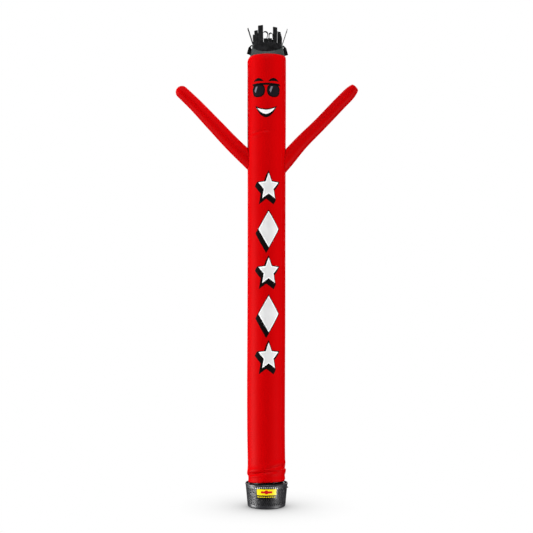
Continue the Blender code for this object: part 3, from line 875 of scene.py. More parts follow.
def make_tube():
    """The tube of the body, still without its arm holes."""
    azimuths = tube_azimuths()
    shape = bmesh.new()
    lines = []
    for section in SECTIONS:
        line = []
        for azimuth in azimuths:
            height = around(azimuth, *section[:4])
            radius = around(azimuth, *section[4:]) + relief(azimuth, height)
            line.append(on_ring(azimuth, radius, height))
        lines.append(line)
    grid(shape, lines, closed=True)
    tube = piece("tube_cloth", shape, [shared(red_nylon)])
    hem = tube.vertex_groups.new(name="hem")
    for vert in tube.data.vertices:
        if vert.co.z < around(azimuth_of(vert.co), *HEM_TOP):
            hem.add([vert.index], 1.0, "REPLACE")
    cloth_map(tube, lambda point: (azimuth_of(point) * TUBE_GIRTH / math.tau, point.z), TUBE_GIRTH)
    thick(tube, TUBE_HEM, "hem", settings().cloth.thickness / TUBE_HEM)
    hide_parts("body_tube")
    return tube


def arm_point(rows, level, turn, grow=0.0):
    """A point of an arm's skin at a level of its table, and the way that it faces."""
    last = len(rows) - 1
    x, z, wide, deep = through(rows, level)
    ahead, behind = through(rows, min(level + 0.05, last)), through(rows, max(level - 0.05, 0.0))
    along = Vector((ahead[0] - behind[0], 0.0, ahead[1] - behind[1])).normalized()
    side = Vector((-along.z, 0.0, along.x))
    out = side * ((wide + grow) * math.cos(turn)) + Vector((0.0, (deep + grow) * math.sin(turn), 0.0))
    return Vector((x, 0.0, z)) + out, out.normalized(), along


def root_level(rows, turn, grow=0.0):
    """The level at which a line along the arm's skin leaves the tube."""
    inside, outside = 0.0, 2.0
    for _ in range(24):
        middle = (inside + outside) / 2
        point, _, _ = arm_point(rows, middle, turn, grow)
        within = math.hypot(point.x, point.y) < tube_radius(azimuth_of(point), point.z) + SEAM_GAP
        inside, outside = (middle, outside) if within else (inside, middle)
    return outside


def arm_lines(rows, is_round):
    """Rings of an arm from the tube's surface to its closed end, and the end's tip."""
    last = len(rows) - 1
    turns = even_turns(ARM_COLUMNS)
    roots = [root_level(rows, turn) for turn in turns]
    starts = [arm_point(rows, root, turn)[0] for root, turn in zip(roots, turns)]
    lines = []
    for k in range(ARM_RINGS + 1):
        share = k / ARM_RINGS
        line = []
        for turn, root, start in zip(turns, roots, starts):
            point, out, _ = arm_point(rows, root + (last - root) * share, turn)
            reach = (point - start).length
            pucker = ROOT_PUCKER * gathers(turn * 0.5 + 0.3) * fade(reach, 0.0, ROOT_PUCKER_REACH)
            line.append(point + out * pucker * min(1.0, reach / 0.006))
        lines.append(line)
    x, z, wide, deep = rows[-1]
    along = arm_point(rows, last, 0.0)[2]
    side = Vector((-along.z, 0.0, along.x))
    bulge = wide * (1.0 if is_round else BLUNT_BULGE)
    for k in range(1, ARM_END_RINGS):
        angle = math.pi / 2 * k / ARM_END_RINGS
        centre = Vector((x, 0.0, z)) + along * (bulge * math.sin(angle))
        size = math.cos(angle) ** (1.0 if is_round else BLUNT_CORNER)
        line = []
        for turn in turns:
            crease = gathers(turn) * 0.0012 * math.sin(2 * angle)
            across = side * ((wide * size + crease) * math.cos(turn))
            line.append(centre + across + Vector((0.0, (deep * size + crease) * math.sin(turn), 0.0)))
        lines.append(line)
    return lines, Vector((x, 0.0, z)) + along * bulge


def make_arm(name, rows, is_round):
    """An arm, open at its root and closed at its end."""
    shape = bmesh.new()
    lines, tip = arm_lines(rows, is_round)
    loops = grid(shape, lines, closed=True)
    close_over(shape, loops[-1], tip)
    bmesh.ops.recalc_face_normals(shape, faces=shape.faces)
    made = piece(f"{name}_cloth", shape, [shared(red_nylon)])
    radius = rows[1][2]
    start, finish = (Vector((rows[k][0], 0.0, rows[k][1])) for k in (1, -2))
    along = (finish - start).normalized()
    side = Vector((-along.z, 0.0, along.x))

    def unrolled(point):
        off = point - start
        return math.atan2(off.y, off.dot(side)) * radius, off.dot(along)

    cloth_map(made, unrolled, math.tau * radius)
    thick(made, settings().cloth.thickness)
    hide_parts(name)
    return made


def cut_arm_hole(tube, name, rows):
    """Cuts the hole under an arm's root with a plug that follows the arm, and returns the plug."""
    shape = bmesh.new()
    turns = even_turns(ARM_COLUMNS)
    levels = [0.3 + (ARM_HOLE_LEVEL - 0.3) * k / 8 for k in range(9)]
    loops = grid(
        shape,
        [[arm_point(rows, level, turn, -ARM_HOLE_MARGIN)[0] for turn in turns] for level in levels],
        closed=True,
    )
    shape.faces.new(loops[0])
    shape.faces.new(loops[-1])
    bmesh.ops.recalc_face_normals(shape, faces=shape.faces)
    mesh = bpy.data.meshes.new(f"{name}_hole")
    shape.to_mesh(mesh)
    shape.free()
    plug = bpy.data.objects.new(f"{name}_hole", mesh)
    bpy.context.scene.collection.objects.link(plug)
    modifier = tube.modifiers.new(f"Hole for {name}", "BOOLEAN")
    modifier.operation = "DIFFERENCE"
    modifier.solver = "MANIFOLD"
    modifier.object = plug
    return plug


def apply_all(made):
    """Applies an object's modifiers, so that its helpers can go."""
    graph = bpy.context.evaluated_depsgraph_get()
    mesh = bpy.data.meshes.new_from_object(made.evaluated_get(graph))
    made.modifiers.clear()
    made.data = mesh


# ---------------------------------------------------------------- stitching


def add_stitch(shape, start, end, out, width, height):
    """One stitch of thread, pointed where it dives into the cloth at both ends."""
    along = (end - start).normalized()
    side = along.cross(out).normalized() * (width / 2)
    middle = (start + end) / 2 + out * (height / 2)
    ends = [shape.verts.new(start), shape.verts.new(end)]
    ring = [
        shape.verts.new(middle + offset)
        for offset in (side, out * (height / 2), -side, out * (-height / 2))
    ]
    for k in range(4):
        after = (k + 1) % 4
        shape.faces.new((ends[0], ring[after], ring[k]))
        shape.faces.new((ends[1], ring[k], ring[after]))


def sew(shape, path, pitch, closed=False):
    """Stitches along a path of (point, way out) pairs."""
    stops = list(path) + ([path[0]] if closed else [])
    walked = [0.0]
    for (before, _), (after, _) in zip(stops, stops[1:]):
        walked.append(walked[-1] + (after - before).length)
    count = max(1, round(walked[-1] / pitch))
    pitch = walked[-1] / count
    at = 1

    def place(distance):
        nonlocal at
        while at < len(walked) - 1 and walked[at] < distance:
            at += 1
        share = (distance - walked[at - 1]) / max(walked[at] - walked[at - 1], 1e-9)
        (before, out), (after, later) = stops[at - 1], stops[at]
        return before.lerp(after, share), out.lerp(later, share).normalized()

    for k in range(count):
        start, out = place(k * pitch)
        end, _ = place((k + STITCH_SHARE) * pitch)
        add_stitch(shape, start, end, out, STITCH_WIDTH, STITCH_HEIGHT)


def tube_path(azimuths, heights):
    """A path on the tube's outside, from equal lists of azimuths and heights."""
    path = []
    for azimuth, height in zip(azimuths, heights):
        out = on_ring(azimuth, 1.0, 0.0)
        path.append((on_ring(azimuth, tube_radius(azimuth, height), height), out))
    return path


def tube_stitching():
    """The stitches of the long seams, the crown seam, the hem and the arms' roots."""
    shape = bmesh.new()
    pitch = settings().cloth.stitch
    low, high = TUBE_LEVELS[0][0], TUBE_LEVELS[-1][0] - 0.012
    heights = [low + (high - low) * k / SEAM_PATH_STEPS for k in range(SEAM_PATH_STEPS + 1)]
    for seam in SEAMS:
        for off in (-SEAM_LINE, SEAM_LINE):
            azimuth = math.radians(seam) + off / (TUBE_GIRTH / math.tau)
            sew(shape, tube_path([azimuth] * len(heights), heights), pitch)
    ring = even_turns(RING_POINTS)
    for drop in TOP_STITCHES:
        heights = [TUBE_LEVELS[-1][0] - drop] * RING_POINTS
        sew(shape, tube_path(ring, heights), pitch, closed=True)
    sew(shape, hem_path(ring), pitch, closed=True)
    for rows in (LEFT_ARM, RIGHT_ARM):
        for grow in ROOT_STITCHES:
            points = [
                arm_point(rows, root_level(rows, turn, grow), turn, grow)[0]
                for turn in even_turns(ROOT_POINTS)
            ]
            path = [(p, Vector((p.x, p.y, 0.0)).normalized()) for p in points]
            sew(shape, path, pitch, closed=True)
    return shape


def hem_path(azimuths):
    """The line of stitches near the top of the hem."""
    path = []
    for azimuth in azimuths:
        target = around(azimuth, *HEM_TOP) - 0.004
        for low, high in zip(SECTIONS, SECTIONS[1:]):
            below, above = around(azimuth, *low[:4]), around(azimuth, *high[:4])
            if below <= target <= above:
                share = (target - below) / (above - below)
                inner, outer = around(azimuth, *low[4:]), around(azimuth, *high[4:])
                radius = inner + share * (outer - inner) + relief(azimuth, target)
                path.append((on_ring(azimuth, radius, target), on_ring(azimuth, 1.0, 0.0)))
                break
    return path


# ---------------------------------------------------------------- printing


def divided(outline, longest):
    """An outline with points added so that no side is longer than this."""
    points = []
    for k, start in enumerate(outline):
        end = outline[(k + 1) % len(outline)]
        steps = max(1, math.ceil(math.dist(start, end) / longest))
        for n in range(steps):
            share = n / steps
            points.append((start[0] + (end[0] - start[0]) * share, start[1] + (end[1] - start[1]) * share))
    return points


def holds(outline, u, v):
    """Whether an outline goes round a point."""
    odd = False
    for k, (u1, v1) in enumerate(outline):
        u0, v0 = outline[k - 1]
        if (v1 > v) != (v0 > v) and u < (u0 - u1) * (v - v1) / (v0 - v1) + u1:
            odd = not odd
    return odd


class Ink:
    """Flat shapes in layers, each with its own material, that become one thin print."""

    def __init__(self, longest=0.011):
        self.longest = longest
        self.materials = []
        self.shapes = []  # (index of the material, outline, its box), from the bottom up

    def add(self, finish, *outlines):
        if finish not in self.materials:
            self.materials.append(finish)
        for outline in outlines:
            points = divided(outline, self.longest)
            us, vs = [u for u, _ in points], [v for _, v in points]
            box = (min(us), min(vs), max(us), max(vs))
            self.shapes.append((self.materials.index(finish), points, box))

    def top_at(self, u, v):
        """Material of the topmost shape at a point, or None."""
        for index, outline, box in reversed(self.shapes):
            if box[0] <= u <= box[2] and box[1] <= v <= box[3] and holds(outline, u, v):
                return index
        return None

    def mesh(self, place):
        """A bmesh of all the shapes, each point carried on to the surface by place(u, v)."""
        points, edges = [], []
        for _, outline, _ in self.shapes:
            start = len(points)
            points += [Vector(point) for point in outline]
            edges += [(start + k, start + (k + 1) % len(outline)) for k in range(len(outline))]
        low = [min(box[k] for _, _, box in self.shapes) for k in (0, 1)]
        high = [max(box[k] for _, _, box in self.shapes) for k in (2, 3)]
        steps = [math.ceil((high[k] - low[k]) / self.longest) for k in (0, 1)]
        for row in range(steps[1]):
            for column in range(steps[0]):
                u = low[0] + (column + 0.5 + 0.25 * (row % 2)) * self.longest
                v = low[1] + (row + 0.5) * self.longest
                if self.top_at(u, v) is not None:
                    points.append(Vector((u, v)))
        flat, _, faces, *_ = delaunay_2d_cdt(points, edges, [], 0, 1e-6)
        shape = bmesh.new()
        cloth = shape.loops.layers.uv.new("cloth")
        verts = {}
        for face in faces:
            centre = sum((flat[k] for k in face), Vector((0.0, 0.0))) / len(face)
            index = self.top_at(centre.x, centre.y)
            if index is None:
                continue
            for k in face:
                if k not in verts:
                    verts[k] = shape.verts.new(place(*flat[k]))
            made = shape.faces.new([verts[k] for k in face])
            made.material_index = index
            for loop, k in zip(made.loops, face):
                loop[cloth].uv = flat[k]
        return shape


def arc(start, end, rise, steps=24):
    """Points from start up to but not including end, bowed by rise at the middle."""
    points = []
    for k in range(steps):
        t = k / steps
        bow = 4.0 * rise * t * (1.0 - t)
        points.append((start[0] + (end[0] - start[0]) * t, start[1] + (end[1] - start[1]) * t + bow))
    return points


def crescent(left, right, upper, lower):
    """The shape between two arcs that share their ends, with a rise for each."""
    return arc(left, right, upper) + arc(right, left, lower)


def lens_outline(middle, half_width, above, below, steps=64):
    """A rounded outline, squarer than an oval and flatter above than below."""
    points = []
    for k in range(steps):
        x, y = math.cos(math.tau * k / steps), math.sin(math.tau * k / steps)
        reach = (abs(x) ** SQUARENESS + abs(y) ** SQUARENESS) ** (-1.0 / SQUARENESS)
        tall = above if y > 0.0 else below
        points.append((middle[0] + x * reach * half_width, middle[1] + y * reach * tall))
    return points


INK_BLACK = linear("#060606")
FACE_MIDDLE = -0.006
SQUARENESS = 2.5
EYE_OFF = 0.091  # of the middle of a lens off the middle of the face
EYE_HEIGHT = 4.876
LENS_SIZE = (0.066, 0.054, 0.072)  # half width, height above and below the lens's middle
RIM_WIDTH = 0.014
BAR_ENDS = (0.182, 4.938)  # of the bar along the top of the glasses
BAR_HALF = 0.012
BAR_BOW = 0.006
GLINT = ((-0.034, 0.040), (-0.010, 0.040), (-0.036, -0.034), (-0.050, -0.008))
BROW_HALF = 0.068
BROW_HEIGHT = 4.972
BROW_RISE = (0.044, 0.008)  # of its upper and lower line at the middle
MOUTH_END = (0.134, 4.694)
MOUTH_RISE = (-0.040, -0.142)
TEETH_END = (0.108, 4.668)
TEETH_RISE = (-0.028, -0.076)


def face_print():
    """A plain smiling face in dark glasses, drawn from arcs."""
    black = shared(printed_ink, "black", INK_BLACK)
    glass = shared(printed_ink, "smoke grey", linear("#17151A"))
    glint = shared(printed_ink, "light grey", linear("#77747C"))
    white = shared(printed_ink, "white", tuple(settings().prints.white))
    ink = Ink(0.009)

    def bow(end, rises, middle=FACE_MIDDLE):
        half, height = end
        return crescent((middle - half, height), (middle + half, height), *rises)

    half, height = BAR_ENDS
    left, right = FACE_MIDDLE - half, FACE_MIDDLE + half
    top, foot = height + BAR_HALF, height - BAR_HALF
    ink.add(black, arc((left, top), (right, top), BAR_BOW) + arc((right, foot), (left, foot), BAR_BOW))
    for eye in (FACE_MIDDLE - EYE_OFF, FACE_MIDDLE + EYE_OFF):
        ink.add(black, bow((BROW_HALF, BROW_HEIGHT), BROW_RISE, eye))
        ink.add(black, lens_outline((eye, EYE_HEIGHT), *(size + RIM_WIDTH for size in LENS_SIZE)))
        ink.add(glass, lens_outline((eye, EYE_HEIGHT), *LENS_SIZE))
        ink.add(glint, [(eye + u, EYE_HEIGHT + v) for u, v in GLINT])
    ink.add(black, bow(MOUTH_END, MOUTH_RISE))
    ink.add(white, bow(TEETH_END, TEETH_RISE))
    return ink


MOTIF_TOP = 3.905
MOTIF_FOOT = 1.600
MOTIF_MIDDLE = 0.026  # off the front, because the shadow lies on the left
MOTIF_SHADOW = (-0.030, -0.051)
MOTIF_LINE = 0.009  # black outline
MOTIF_EDGE = 0.011  # white edge round the pale grey middle
STAR_INNER = 0.47  # radius of a star's inner corners in radii of its points
STAR_SIDE = 0.93  # distance of a star's sides from its middle, in radii of its inner corners
STAR_TALL = 1.28
LOZENGE_TALL = 1.72


def star(middle, width, grow=0.0):
    """A star with five points, each side moved out by grow."""
    points = []
    radius = width / 2 / math.sin(math.radians(72))
    apothem = radius * STAR_INNER * STAR_SIDE
    radius *= (apothem + grow) / apothem
    for k in range(10):
        turn = math.radians(36 * k)
        reach = radius * (1.0 if k % 2 == 0 else STAR_INNER)
        points.append((middle[0] + reach * math.sin(turn), middle[1] + reach * STAR_TALL * math.cos(turn)))
    return points


def lozenge(middle, width, grow=0.0):
    """A lozenge, each side moved out by grow."""
    wide = width / 2
    tall = wide * LOZENGE_TALL
    size = 1.0 + grow * math.hypot(wide, tall) / (wide * tall)
    corners = ((1.0, 0.0), (0.0, 1.0), (-1.0, 0.0), (0.0, -1.0))
    return [(middle[0] + a * wide * size, middle[1] + b * tall * size) for a, b in corners]


def swept(outline, shift):
    """Outlines that together cover a shape as it slides by a shift."""
    moved = [(u + shift[0], v + shift[1]) for u, v in outline]
    covers = [moved]
    for k in range(len(outline)):
        a, b = outline[k - 1], outline[k]
        covers.append([a, b, moved[k], moved[k - 1]])
    return covers


def motif_print():
    """A column of stars and lozenges in white, outlined, each with a dark shadow."""
    prints = settings().prints
    black = shared(printed_ink, "black", INK_BLACK)
    white = shared(printed_ink, "white", tuple(prints.white))
    pale = shared(printed_ink, "pale grey", linear("#DCDCDC"))
    shadow = shared(printed_ink, "warm black", tuple(prints.shadow))
    ink = Ink()
    count = prints.motifs
    width = prints.motif_width
    star_half = width / 2 / math.sin(math.radians(72)) * STAR_TALL
    top, foot = MOTIF_TOP - star_half, MOTIF_FOOT + star_half
    for k in range(count):
        middle = (MOTIF_MIDDLE, top + (foot - top) * k / max(count - 1, 1))
        draw = star if k % 2 == 0 else lozenge
        ink.add(shadow, *swept(draw(middle, width, MOTIF_LINE), MOTIF_SHADOW))
        ink.add(black, draw(middle, width, MOTIF_LINE))
        ink.add(white, draw(middle, width))
        ink.add(pale, draw(middle, width, -MOTIF_EDGE))
    return ink


PRINT_LIFT = 0.0005


def on_tube(u, v):
    """The point of the tube where a print's point (u, v) lies."""
    azimuth = u / (TUBE_GIRTH / math.tau)
    return on_ring(azimuth, tube_radius(azimuth, v) + PRINT_LIFT, v)


# ---------------------------------------------------------------- crown cap and hair


def cap_radius(height):
    """Radius of the cap's cone at a height."""
    share = (height - CAP_SEAM[0]) / (CAP_EDGE[0] - CAP_SEAM[0])
    return CAP_SEAM[1] + share * (CAP_EDGE[1] - CAP_SEAM[1])


def make_cap():
    """The cap's cone, gathered at its seam, with its vent."""
    azimuths = even_turns(CAP_COLUMNS)
    shape = bmesh.new()
    lines = []
    last = len(CAP_SECTIONS) - 1
    for k in range(last * CAP_STEPS + 1):
        height, radius = through(CAP_SECTIONS, k / CAP_STEPS)
        gather = CAP_GATHERS * min(1.0, k / CAP_STEPS / 2.0) * fade(k / CAP_STEPS, 4.2, 5.0)
        lines.append(
            [
                on_ring(a, radius - gather * (1.0 + gathers(a)) + CAP_SHIFT * math.sin(a), height)
                for a in azimuths
            ]
        )
    grid(shape, lines, closed=True)
    cap = piece("crown_cap_cloth", shape, [shared(vent_mesh)])
    hem = cap.vertex_groups.new(name="hem")
    for vert in cap.data.vertices:
        if math.hypot(vert.co.x, vert.co.y) < CAP_SECTIONS[-1][1] + CAP_SHIFT + 0.010:
            hem.add([vert.index], 1.0, "REPLACE")
    cloth_map(
        cap,
        lambda point: (azimuth_of(point) * CAP_MAP_RADIUS, math.hypot(point.x, point.y) + point.z),
        math.tau * CAP_MAP_RADIUS,
    )
    thick(cap, CAP_HEM, "hem", settings().cloth.thickness / CAP_HEM)
    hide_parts("crown_cap")
    return cap


def ribbon_lines(root, row):
    """Cross-sections of one ribbon above its root edge, as the table's row turns it."""
    azimuth, width, length, lean, twist, swing, bend, bend_from, bend_to = row
    turn = math.radians(azimuth)
    along = Vector((0.0, 0.0, 1.0))
    wide = Vector((math.cos(turn), math.sin(turn), 0.0))
    out = Vector((math.sin(turn), -math.cos(turn), 0.0))
    frame_axes = [along, wide, out]

    def turn_frame(degrees, about):
        rotation = Matrix.Rotation(math.radians(degrees), 3, frame_axes[about])
        frame_axes[:] = [rotation @ axis for axis in frame_axes]

    turn_frame(lean, 1)
    turn_frame(swing, 2)
    shares = [(step + 1) / RIBBON_STEPS for step in range(RIBBON_STEPS)]
    twisting = [RIBBON_TWIST[0] < share <= RIBBON_TWIST[1] for share in shares]
    bending = [bend_from < share <= bend_to for share in shares]
    centre = sum(root, Vector()) / len(root)
    lines = []
    for step, share in enumerate(shares):
        if twisting[step]:
            turn_frame(twist / sum(twisting), 0)
        if bending[step]:
            turn_frame(bend / sum(bending), 1)
        centre = centre + frame_axes[0] * (length / RIBBON_STEPS)
        side, behind = frame_axes[1] * (width / 2), frame_axes[2] * -CROSS_CURL
        flutter = frame_axes[2] * (FLUTTER * math.sin(share * length * FLUTTER_TURNS + azimuth) * share)
        lines.append([centre + side * a + behind * a * a + flutter * (1.2 - a * a) for a in RIBBON_ACROSS])
    return lines


def make_hair():
    """The band round the cap and the ribbons that grow out of it."""
    shape = bmesh.new()
    hem_layer = shape.verts.layers.float.new("hem_weight")
    ribbons = sorted(RIBBONS)
    rim = cap_radius(BAND_TOP) + BAND_LIFT
    columns = [
        math.radians(row[0]) + row[1] / 2 / rim * a for row in ribbons for a in RIBBON_ACROSS
    ]
    levels = []
    for k in range(BAND_STEPS + 1):
        line = []
        for azimuth in columns:
            foot = around(azimuth, *BAND_LOW)
            height = foot + (BAND_TOP - foot) * k / BAND_STEPS
            radius = cap_radius(height) + BAND_LIFT + CAP_SHIFT * math.sin(azimuth)
            line.append(on_ring(azimuth, radius, height))
        levels.append(line)
    loops = grid(shape, levels, closed=True)
    for face in shape.faces:
        face.material_index = int(abs(azimuth_of(face.calc_center_median())) > BARE_BAND)
    top = loops[-1]
    wide = len(RIBBON_ACROSS)
    hem = settings().cloth.hem
    for number, row in enumerate(ribbons):
        lower = top[number * wide : (number + 1) * wide]
        lines = ribbon_lines([vert.co for vert in lower], row)
        for step, points in enumerate(lines):
            upper = [shape.verts.new(point) for point in points]
            left = row[2] * (1.0 - (step + 1) / RIBBON_STEPS)
            for k, vert in enumerate(upper):
                at_side = abs(RIBBON_ACROSS[k]) > RIBBON_EDGE
                vert[hem_layer] = 1.0 if left < hem or at_side else 0.0
            for k in range(wide - 1):
                shape.faces.new((lower[k], lower[k + 1], upper[k + 1], upper[k]))
            lower = upper
    weights = [vert[hem_layer] for vert in shape.verts]
    hair = piece("hair_cloth", shape, [shared(black_nylon), shared(vent_mesh)])
    cloth_map(
        hair, lambda point: (azimuth_of(point) * CAP_MAP_RADIUS, point.z), math.tau * CAP_MAP_RADIUS
    )
    group = hair.vertex_groups.new(name="hem")
    for index, weight in enumerate(weights):
        if weight > 0.0:
            group.add([index], weight, "REPLACE")
    thick(hair, RIBBON_HEM, "hem", settings().cloth.thickness / RIBBON_HEM)
    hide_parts("hair")
    return hair


def crown_stitching():
    """Two rows of stitches along the top of the hair's band."""
    shape = bmesh.new()
    pitch = settings().cloth.stitch
    for drop in TOP_STITCHES:
        height = BAND_TOP - drop
        path = []
        for azimuth in even_turns(RING_POINTS):
            radius = cap_radius(height) + BAND_LIFT + CAP_SHIFT * math.sin(azimuth)
            path.append((on_ring(azimuth, radius, height), on_ring(azimuth, 1.0, 0.2)))
        sew(shape, path, pitch, closed=True)
    return shape


# ---------------------------------------------------------------- the blower


def wall_radius(height):
    """Outside radius of the housing's wall under its rim band."""
    top = HOUSING_HEIGHT - RIM_BAND
    share = (height - WALL_FOOT_HEIGHT) / (top - WALL_FOOT_HEIGHT)
    return WALL_FOOT_RADIUS + share * (WALL_TOP_RADIUS - WALL_FOOT_RADIUS)


def behind_label(azimuth, height):
    """Whether the label hides a place on the wall."""
    reach = LABEL_FACET * LABEL_FACETS + 0.02
    return abs(to_side(azimuth, 0.0)) < reach and LABEL_LOW - 0.006 < height < LABEL_HIGH


def make_housing():
    """The tub's wall: ribs and nodes round staggered diamonds, with plain bands."""
    blower = settings().blower
    columns = blower.columns
    pitch = math.tau / columns
    half_wide = 0.5 * LATTICE_RADIUS * pitch  # of the diamond from rib middle to rib middle
    slope = math.atan2(LATTICE_PITCH, half_wide)
    wide_share = 1.0 - blower.rib / 2 / math.sin(slope) / half_wide
    reach_u = wide_share * pitch / 2
    reach_v = wide_share * LATTICE_PITCH
    shape = bmesh.new()

    def wall_vert(azimuth, height):
        return shape.verts.new(on_ring(azimuth, wall_radius(height), height))

    holes = []
    for row in range(LATTICE_ROWS):
        height = LATTICE_LOW + row * LATTICE_PITCH
        line = []
        for column in range(columns):
            middle = (column + 0.5 * (row % 2)) * pitch
            line.append(
                {
                    "right": wall_vert(middle + reach_u, height),
                    "top": wall_vert(middle, height + reach_v),
                    "left": wall_vert(middle - reach_u, height),
                    "bottom": wall_vert(middle, height - reach_v),
                    "filled": behind_label(middle, height),
                }
            )
        holes.append(line)
    last = LATTICE_ROWS - 1
    band_low = LATTICE_LOW - reach_v - LATTICE_MARGIN
    band_high = LATTICE_LOW + last * LATTICE_PITCH + reach_v + LATTICE_MARGIN
    around_wall = even_turns(2 * columns)
    low = [wall_vert(azimuth, band_low) for azimuth in around_wall]
    high = [wall_vert(azimuth, band_high) for azimuth in around_wall]

    def neighbour(row, column, up, right):
        """The diamond diagonally up or down, and right or left, of one."""
        shifted = column + (right if row % 2 else right - 1)
        return holes[row + up][shifted % columns]

    for row, line in enumerate(holes):
        for column, hole in enumerate(line):
            beside = line[(column + 1) % columns]
            at = 2 * column + row % 2
            above = neighbour(row, column, 1, 1)["bottom"] if row < last else high[(at + 1) % (2 * columns)]
            below = neighbour(row, column, -1, 1)["top"] if row else low[(at + 1) % (2 * columns)]
            shape.faces.new((below, beside["left"], above, hole["right"]))
            if row < last:
                right, left = neighbour(row, column, 1, 1), neighbour(row, column, 1, 0)
                shape.faces.new((hole["right"], right["bottom"], right["left"], hole["top"]))
                shape.faces.new((hole["top"], left["right"], left["bottom"], hole["left"]))
            else:
                middle, after, before = (high[(at + n) % (2 * columns)] for n in (0, 1, -1))
                shape.faces.new((hole["right"], after, middle, hole["top"]))
                shape.faces.new((hole["top"], middle, before, hole["left"]))
            if row == 0:
                middle, after, before = (low[(at + n) % (2 * columns)] for n in (0, 1, -1))
                shape.faces.new((hole["bottom"], middle, after, hole["right"]))
                shape.faces.new((hole["left"], before, middle, hole["bottom"]))
            if hole["filled"]:
                shape.faces.new((hole["right"], hole["top"], hole["left"], hole["bottom"]))

    def band(loop, profile, upwards):
        """Rings of a plain band that carry on from a loop."""
        for radius, height in profile:
            ring = [shape.verts.new(on_ring(azimuth, radius, height)) for azimuth in around_wall]
            for k in range(2 * columns):
                after = (k + 1) % (2 * columns)
                quad = (loop[k], loop[after], ring[after], ring[k])
                shape.faces.new(quad if upwards else reversed(quad))
            loop = ring

    rim_foot = HOUSING_HEIGHT - RIM_BAND
    band(high, [(wall_radius(h), h) for h in ((band_high + rim_foot) / 2, rim_foot + 0.002)], True)
    foot = rounded((FOOT_RADIUS, WALL_FOOT_HEIGHT), 1.0, 0.0, -90.0, 5)
    foot = [
        (
            FOOT_RADIUS + (WALL_FOOT_RADIUS - FOOT_RADIUS) * (r - FOOT_RADIUS),
            WALL_FOOT_HEIGHT + (WALL_FOOT_HEIGHT - HOUSING_LIFT) * (z - WALL_FOOT_HEIGHT),
        )
        for r, z in foot
    ]
    band(low, [*foot, (BASE_RADIUS + SEAM_GAP, HOUSING_LIFT)], False)
    bmesh.ops.recalc_face_normals(shape, faces=shape.faces)
    wall = piece("housing_wall", shape, [shared(moulded_plastic)], sharp=30.0)
    thick(wall, HOUSING_WALL)
    bevel = wall.modifiers.new("Moulded edges", "BEVEL")
    bevel.width = MOULD_EDGE
    bevel.segments = 1
    bevel.limit_method = "ANGLE"
    bevel.angle_limit = math.radians(50.0)
    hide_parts("blower_housing")
    return wall


def make_rim():
    """The band round the top of the tub, with the ledge that carries the deck."""
    rim_foot = HOUSING_HEIGHT - RIM_BAND
    inside = WALL_TOP_RADIUS - HOUSING_WALL
    edge, step, foot = 0.0022, 0.001, DECK_TOP + 0.0008
    profile = [
        (inside, foot),
        (inside, HOUSING_HEIGHT - edge),
        *rounded((inside + edge, HOUSING_HEIGHT - edge), edge, 180.0, 90.0),
        *rounded((RIM_RADIUS - edge, HOUSING_HEIGHT - edge), edge, 90.0, 0.0),
        *rounded((RIM_RADIUS - edge, rim_foot + edge), edge, 0.0, -90.0),
        (WALL_TOP_RADIUS - step, rim_foot),
        (WALL_TOP_RADIUS - step, foot),
    ]
    made = turned("housing_rim", profile, [shared(moulded_plastic)])
    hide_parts("blower_housing")
    return made


def make_lip():
    """The soft-edged ring round the duct, with a shallow groove under its edge."""
    foot = DECK_TOP + SEAM_GAP
    inner = DUCT_RADIUS + SEAM_GAP
    groove, edge = 0.0016, 0.002
    profile = [
        (inner, foot),
        (inner, LIP_TOP - edge),
        *rounded((inner + edge, LIP_TOP - edge), edge, 180.0, 90.0),
        *rounded((LIP_RADIUS - LIP_EDGE, LIP_TOP - LIP_EDGE), LIP_EDGE, 90.0, 0.0, 6),
        (LIP_RADIUS, LIP_TOP - 0.0105),
        (LIP_RADIUS - groove, LIP_TOP - 0.0115),
        (LIP_RADIUS - groove, LIP_TOP - 0.0140),
        (LIP_RADIUS, LIP_TOP - 0.0150),
        (LIP_RADIUS, foot),
    ]
    made = turned("lip_ring", profile, [shared(moulded_plastic)])
    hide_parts("outlet_lip")
    return made


def make_knob(name, azimuth, seat_radius, height):
    """A fluted control knob with a pointer across its face, its back at the seat."""
    shape = bmesh.new()
    profile = (
        # share of the radius, share of the length, depth of the flutes
        (0.70, 0.00, 0.0), (0.72, 0.12, 0.0), (0.90, 0.20, 0.3), (1.00, 0.32, 1.0),
        (1.00, 0.86, 1.0), (0.96, 0.95, 0.6), (0.86, 1.00, 0.1), (0.40, 1.00, 0.0),
    )
    turns = even_turns(KNOB_SIDES)
    lines = []
    for share, along, flute in profile:
        line = []
        for turn in turns:
            dip = 0.08 * flute * (0.5 + 0.5 * math.cos(KNOB_FLUTES * turn))
            radius = KNOB_RADIUS * (share - dip)
            line.append(Vector((radius * math.cos(turn), radius * math.sin(turn), along * KNOB_LENGTH)))
        lines.append(line)
    loops = grid(shape, lines, closed=True)
    close_over(shape, loops[-1], Vector((0.0, 0.0, KNOB_LENGTH)))
    back = shape.verts.new((0.0, 0.0, 0.0))
    for k in range(KNOB_SIDES):
        shape.faces.new((loops[0][(k + 1) % KNOB_SIDES], loops[0][k], back))
    pointer = bmesh.ops.create_cube(shape, size=1.0)["verts"]
    bmesh.ops.scale(shape, vec=POINTER, verts=pointer)
    bmesh.ops.translate(shape, vec=(0.0, POINTER[1] / 2, KNOB_LENGTH), verts=pointer)
    for face in shape.faces:
        if all(vert in pointer for vert in face.verts):
            face.material_index = 1
    turn = math.radians(azimuth)
    place = Matrix.Translation(on_ring(turn, seat_radius + SEAM_GAP, height)) @ (
        Matrix.Rotation(turn, 4, "Z") @ Matrix.Rotation(math.radians(90.0), 4, "X")
    )
    bmesh.ops.transform(shape, matrix=place, verts=shape.verts)
    finishes = [shared(moulded_plastic), shared(label_vinyl, "white", LABEL_WHITE)]
    made = piece(f"{name}_fluted", shape, finishes, sharp=40.0)
    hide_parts(name)
    return made


